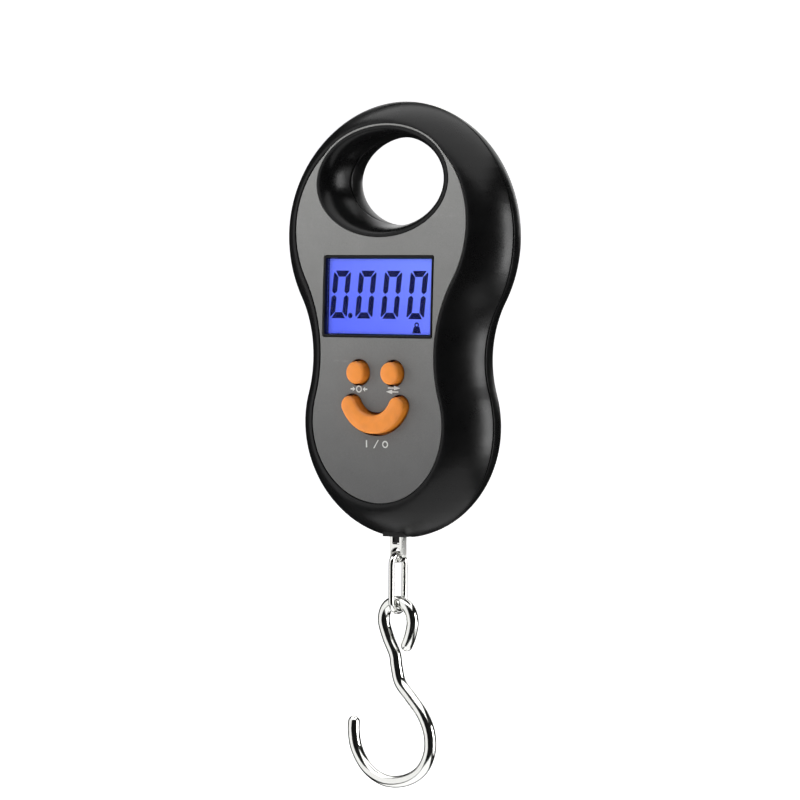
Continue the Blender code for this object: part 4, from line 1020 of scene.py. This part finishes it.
def battery_print():
    """Plain wrap: green with silver bands."""
    n = Nodes("battery_print")
    n.set(Specular_IOR_Level=0.5)
    low, high = in_mm("battery_1")[0].z, in_mm("battery_2")[1].z
    along = n.map_range(n.axis(2), low, high, 0.0, 1.0)
    fade = n.ramp(along, [(0.0, (0.02, 0.16, 0.06)), (1.0, (0.012, 0.10, 0.04))])
    wrap = n.mix(0.5, tinted(n, (0.015, 0.13, 0.05), 0.1), fade)
    stripes = n.maths("GREATER_THAN", n.maths("FRACT", n.maths("MULTIPLY", along, 3.0), 0.0), 0.86)
    n.bump((n.noise(1.5, 3.0), 0.01))
    return n.finish(n.mix(stripes, wrap, (0.55, 0.55, 0.53)), n.drift(0.7, 3.0, 0.22, 0.38))


def make_materials():
    return {
        "housing_black": black_plastic(),
        "plate_grey": satin_grey(),
        "button_orange": orange_rubber(),
        "chrome": chrome(),
        "screw_steel": metal("zinc_steel", (0.50, 0.50, 0.52), 0.28, 0.42),
        "aluminium": metal("milled_aluminium", (0.66, 0.66, 0.68), 0.30, 0.42, (0.2, 6.0, 6.0)),
        "clear_cover": clear_lens(),
        "display_blue": lit_blue(),
        "white_plastic": plastic("white_moulding", (0.72, 0.72, 0.70), 0.40, 0.55),
        "board_green": circuit_lacquer(),
        "rubber_black": plastic("black_rubber", (0.012, 0.012, 0.012), 0.65, 0.85, 0.2, 0.3, 0.02),
        "epoxy_black": plastic("glossy_epoxy", (0.008, 0.008, 0.009), 0.12, 0.25, 0.1),
        "potting_white": plastic("white_silicone", (0.70, 0.69, 0.65), 0.50, 0.65, 0.08, 0.4, 0.03),
        "contact_nickel": metal("nickel_plate", (0.66, 0.63, 0.57), 0.20, 0.34),
        "battery_wrap": battery_print(),
        "wire_red": plastic("red_insulation", (0.45, 0.015, 0.015), 0.35, 0.5),
        "wire_black": plastic("black_insulation", (0.012, 0.012, 0.012), 0.35, 0.5),
        "wire_white": plastic("white_insulation", (0.70, 0.70, 0.70), 0.35, 0.5),
        "wire_green": plastic("green_insulation", (0.02, 0.30, 0.08), 0.35, 0.5),
        "ink_navy": plastic("display_ink", (0.002, 0.004, 0.06), 0.4, 0.5, 0.1, 0.03, 0.001),
        "ink_white": plastic("printed_ink", (0.60, 0.62, 0.60), 0.5, 0.6, 0.1, 0.3, 0.002),
    }


# ---- assembly

materials = make_materials()


def wears(obj, slot):
    """Gives an object one material in place of what it has."""
    obj.data.materials.clear()
    obj.data.materials.append(materials[slot])
    return obj


def add(piece, body, slot, *nodes, look=None):
    """Puts a finished piece on its body in place of CAD nodes."""
    wears(piece, look or slot)
    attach(piece, body)
    if nodes:
        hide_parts(*nodes)


for row in frame["record"]["subparts"]:
    wears(frame["nodes"][row["node"]], row["material_slot"])

add(front_shell(), "housing", "housing_black", "front_housing")
add(rear_shell(), "housing", "housing_black", "rear_housing")
add(door_piece(), "battery_door", "housing_black", "battery_door")
add(plate_skin(), "housing", "plate_grey", "face_plate")
lens, cell = display_pieces()
add(lens, "housing", "clear_cover", "display_cover")
add(cell, "housing", "display_blue", "display_cell")
unit_mark = printed("unit_mark", weight_icon(12.0, -40.0, 2.7), -CELL_Y[0] + INK)
for piece in (digits(), unit_mark):
    add(piece, "housing", "display_blue", look="ink_navy")
add(labels(), "housing", "plate_grey", look="ink_white")
for made, body in zip(caps(), ("tare_button", "unit_button", "power_button")):
    add(made, body, "button_orange", body)
add(hanger_tab(), "housing", "chrome", "hanger")
add(link_ring(), "link", "chrome", "link")
add(hook_wire(), "hook", "chrome", "hook")
for corner, (x, z) in zip(("upper_right", "upper_left", "lower_right", "lower_left"), mirrored(SCREWS_XZ)):
    add(cross_screw(f"cross_screw_{corner}", x, z), "housing", "screw_steel", f"housing_screw_{corner}")
for name, node, side, up in (("cell_left", "battery_1", -1, 1), ("cell_right", "battery_2", 1, -1)):
    add(battery_cell(name, node, side, up), "housing", "battery_wrap", node)
add(coil("strap_coil", "strap_spring", -BATTERY_X), "housing", "contact_nickel", "strap_spring")
add(coil("contact_coil", "contact_spring", BATTERY_X), "housing", "contact_nickel", "contact_spring")


# ---- stage, light and camera

AIM_M = Vector((-0.00044, -0.00032, -0.0579))
AZIMUTH, ELEVATION, ROLL = math.radians(36.43), math.radians(2.0), math.radians(0.255)
DISTANCE_M, LENS = 0.948, 161.0
FLOOR_M = cad_box[0][2] - 0.004


def around(azimuth, elevation, distance):
    """A point around AIM_M. Azimuth 0 is in front of the display, and 90 on its +X side."""
    a, e = math.radians(azimuth), math.radians(elevation)
    return AIM_M + Vector((math.sin(a) * math.cos(e), -math.cos(a) * math.cos(e), math.sin(e))) * distance


def softbox(name, azimuth, elevation, distance, width, height, radiance, mirrored_only=True):
    """An area light that faces the object. radiance is what a mirror would show of it; the lights are
    either seen in the glossy pieces or spread over the matt ones, so that each can be set alone."""
    light = bpy.data.lights.new(name, "AREA")
    light.shape = "RECTANGLE"
    light.size, light.size_y = width, height
    light.energy = radiance * math.pi * width * height
    obj = bpy.data.objects.new(name, light)
    obj.location = around(azimuth, elevation, distance)
    obj.rotation_euler = (AIM_M - obj.location).to_track_quat("-Z", "Y").to_euler()
    obj.visible_camera = False
    obj.visible_diffuse = not mirrored_only
    obj.visible_glossy = mirrored_only
    bpy.context.scene.collection.objects.link(obj)
    return obj


def panel(name, azimuth, distance, z, width, radiance):
    """An upright light between two heights, which only the pieces near those heights mirror."""
    obj = softbox(name, azimuth, 0, distance, width, z[1] - z[0], radiance)
    obj.location.z = (z[0] + z[1]) / 2
    level = Vector((AIM_M.x, AIM_M.y, obj.location.z))
    obj.rotation_euler = (level - obj.location).to_track_quat("-Z", "Y").to_euler()


def studio():
    """Pale floor that curves up into a pale wall behind the object."""
    n = Nodes("pale_paper")
    tone = n.ramp(n.noise(0.004, 2.0), [(0.3, 0.86), (0.7, 0.88)])
    n.set(Emission_Strength=0.95, Emission_Color=tone)
    n.bump((n.noise(0.8, 2.0), 0.02))
    paper = n.finish(tone, n.drift(0.1, 3.0, 0.8, 0.9))
    half, back, radius, top, steps = 4.0, 2.2, 1.0, 3.5, 16
    profile = [(-9.0, FLOOR_M)]
    profile += [(back - radius + radius * math.sin(QUARTER * i / steps),
                 FLOOR_M + radius * (1 - math.cos(QUARTER * i / steps))) for i in range(steps + 1)]
    profile += [(back, top)]
    points = [(x, y, z) for y, z in profile for x in (-half, half)]
    faces = [(2 * i, 2 * i + 1, 2 * i + 3, 2 * i + 2) for i in range(len(profile) - 1)]
    mesh = bpy.data.meshes.new("studio_paper")
    mesh.from_pydata(points, [], faces)
    mesh.shade_smooth()
    mesh.materials.append(paper)
    sweep = bpy.data.objects.new("studio_paper", mesh)
    sweep.matrix_world = Matrix.Rotation(AZIMUTH, 4, "Z")
    sweep.visible_glossy = False
    sweep.visible_shadow = False
    bpy.context.scene.collection.objects.link(sweep)
    world = bpy.data.worlds.new("studio_world")
    world.use_nodes = True
    world.node_tree.nodes["Background"].inputs["Color"].default_value = (0.008, 0.008, 0.008, 1.0)
    bpy.context.scene.world = world
    softbox("left_softbox", -44, 5, 1.4, 1.75, 2.2, 1.1)
    softbox("right_strip", 114, 0, 1.2, 0.50, 0.90, 10.0)
    softbox("top_softbox", 30, 86, 1.3, 2.4, 2.4, 2.1)
    softbox("floor_glow", 36, -80, 0.7, 1.2, 1.2, 1.3)
    panel("low_panel", 120, 0.6, (-0.45, -0.15), 0.7, 1.0)
    panel("hole_panel", 205, 1.0, (0.0, 0.5), 0.8, 1.4)
    softbox("side_fill", -66, 5, 0.6, 0.25, 0.25, 8.0, False)
    softbox("upper_fill", -12, 52, 0.34, 0.2, 0.2, 3.6, False)
    softbox("right_fill", 100, 20, 0.8, 0.5, 0.5, 0.4, False)


def camera():
    data = bpy.data.cameras.new("camera")
    data.lens = LENS
    data.clip_start, data.clip_end = 0.05, 50.0
    obj = bpy.data.objects.new("camera", data)
    turn = (Matrix.Rotation(AZIMUTH, 4, "Z") @ Matrix.Rotation(QUARTER - ELEVATION, 4, "X")
            @ Matrix.Rotation(ROLL, 4, "Z"))
    place = around(math.degrees(AZIMUTH), math.degrees(ELEVATION), DISTANCE_M)
    obj.matrix_world = Matrix.Translation(place) @ turn
    bpy.context.scene.collection.objects.link(obj)
    bpy.context.scene.camera = obj


studio()
camera()
bpy.context.scene.view_settings.view_transform = "Standard"
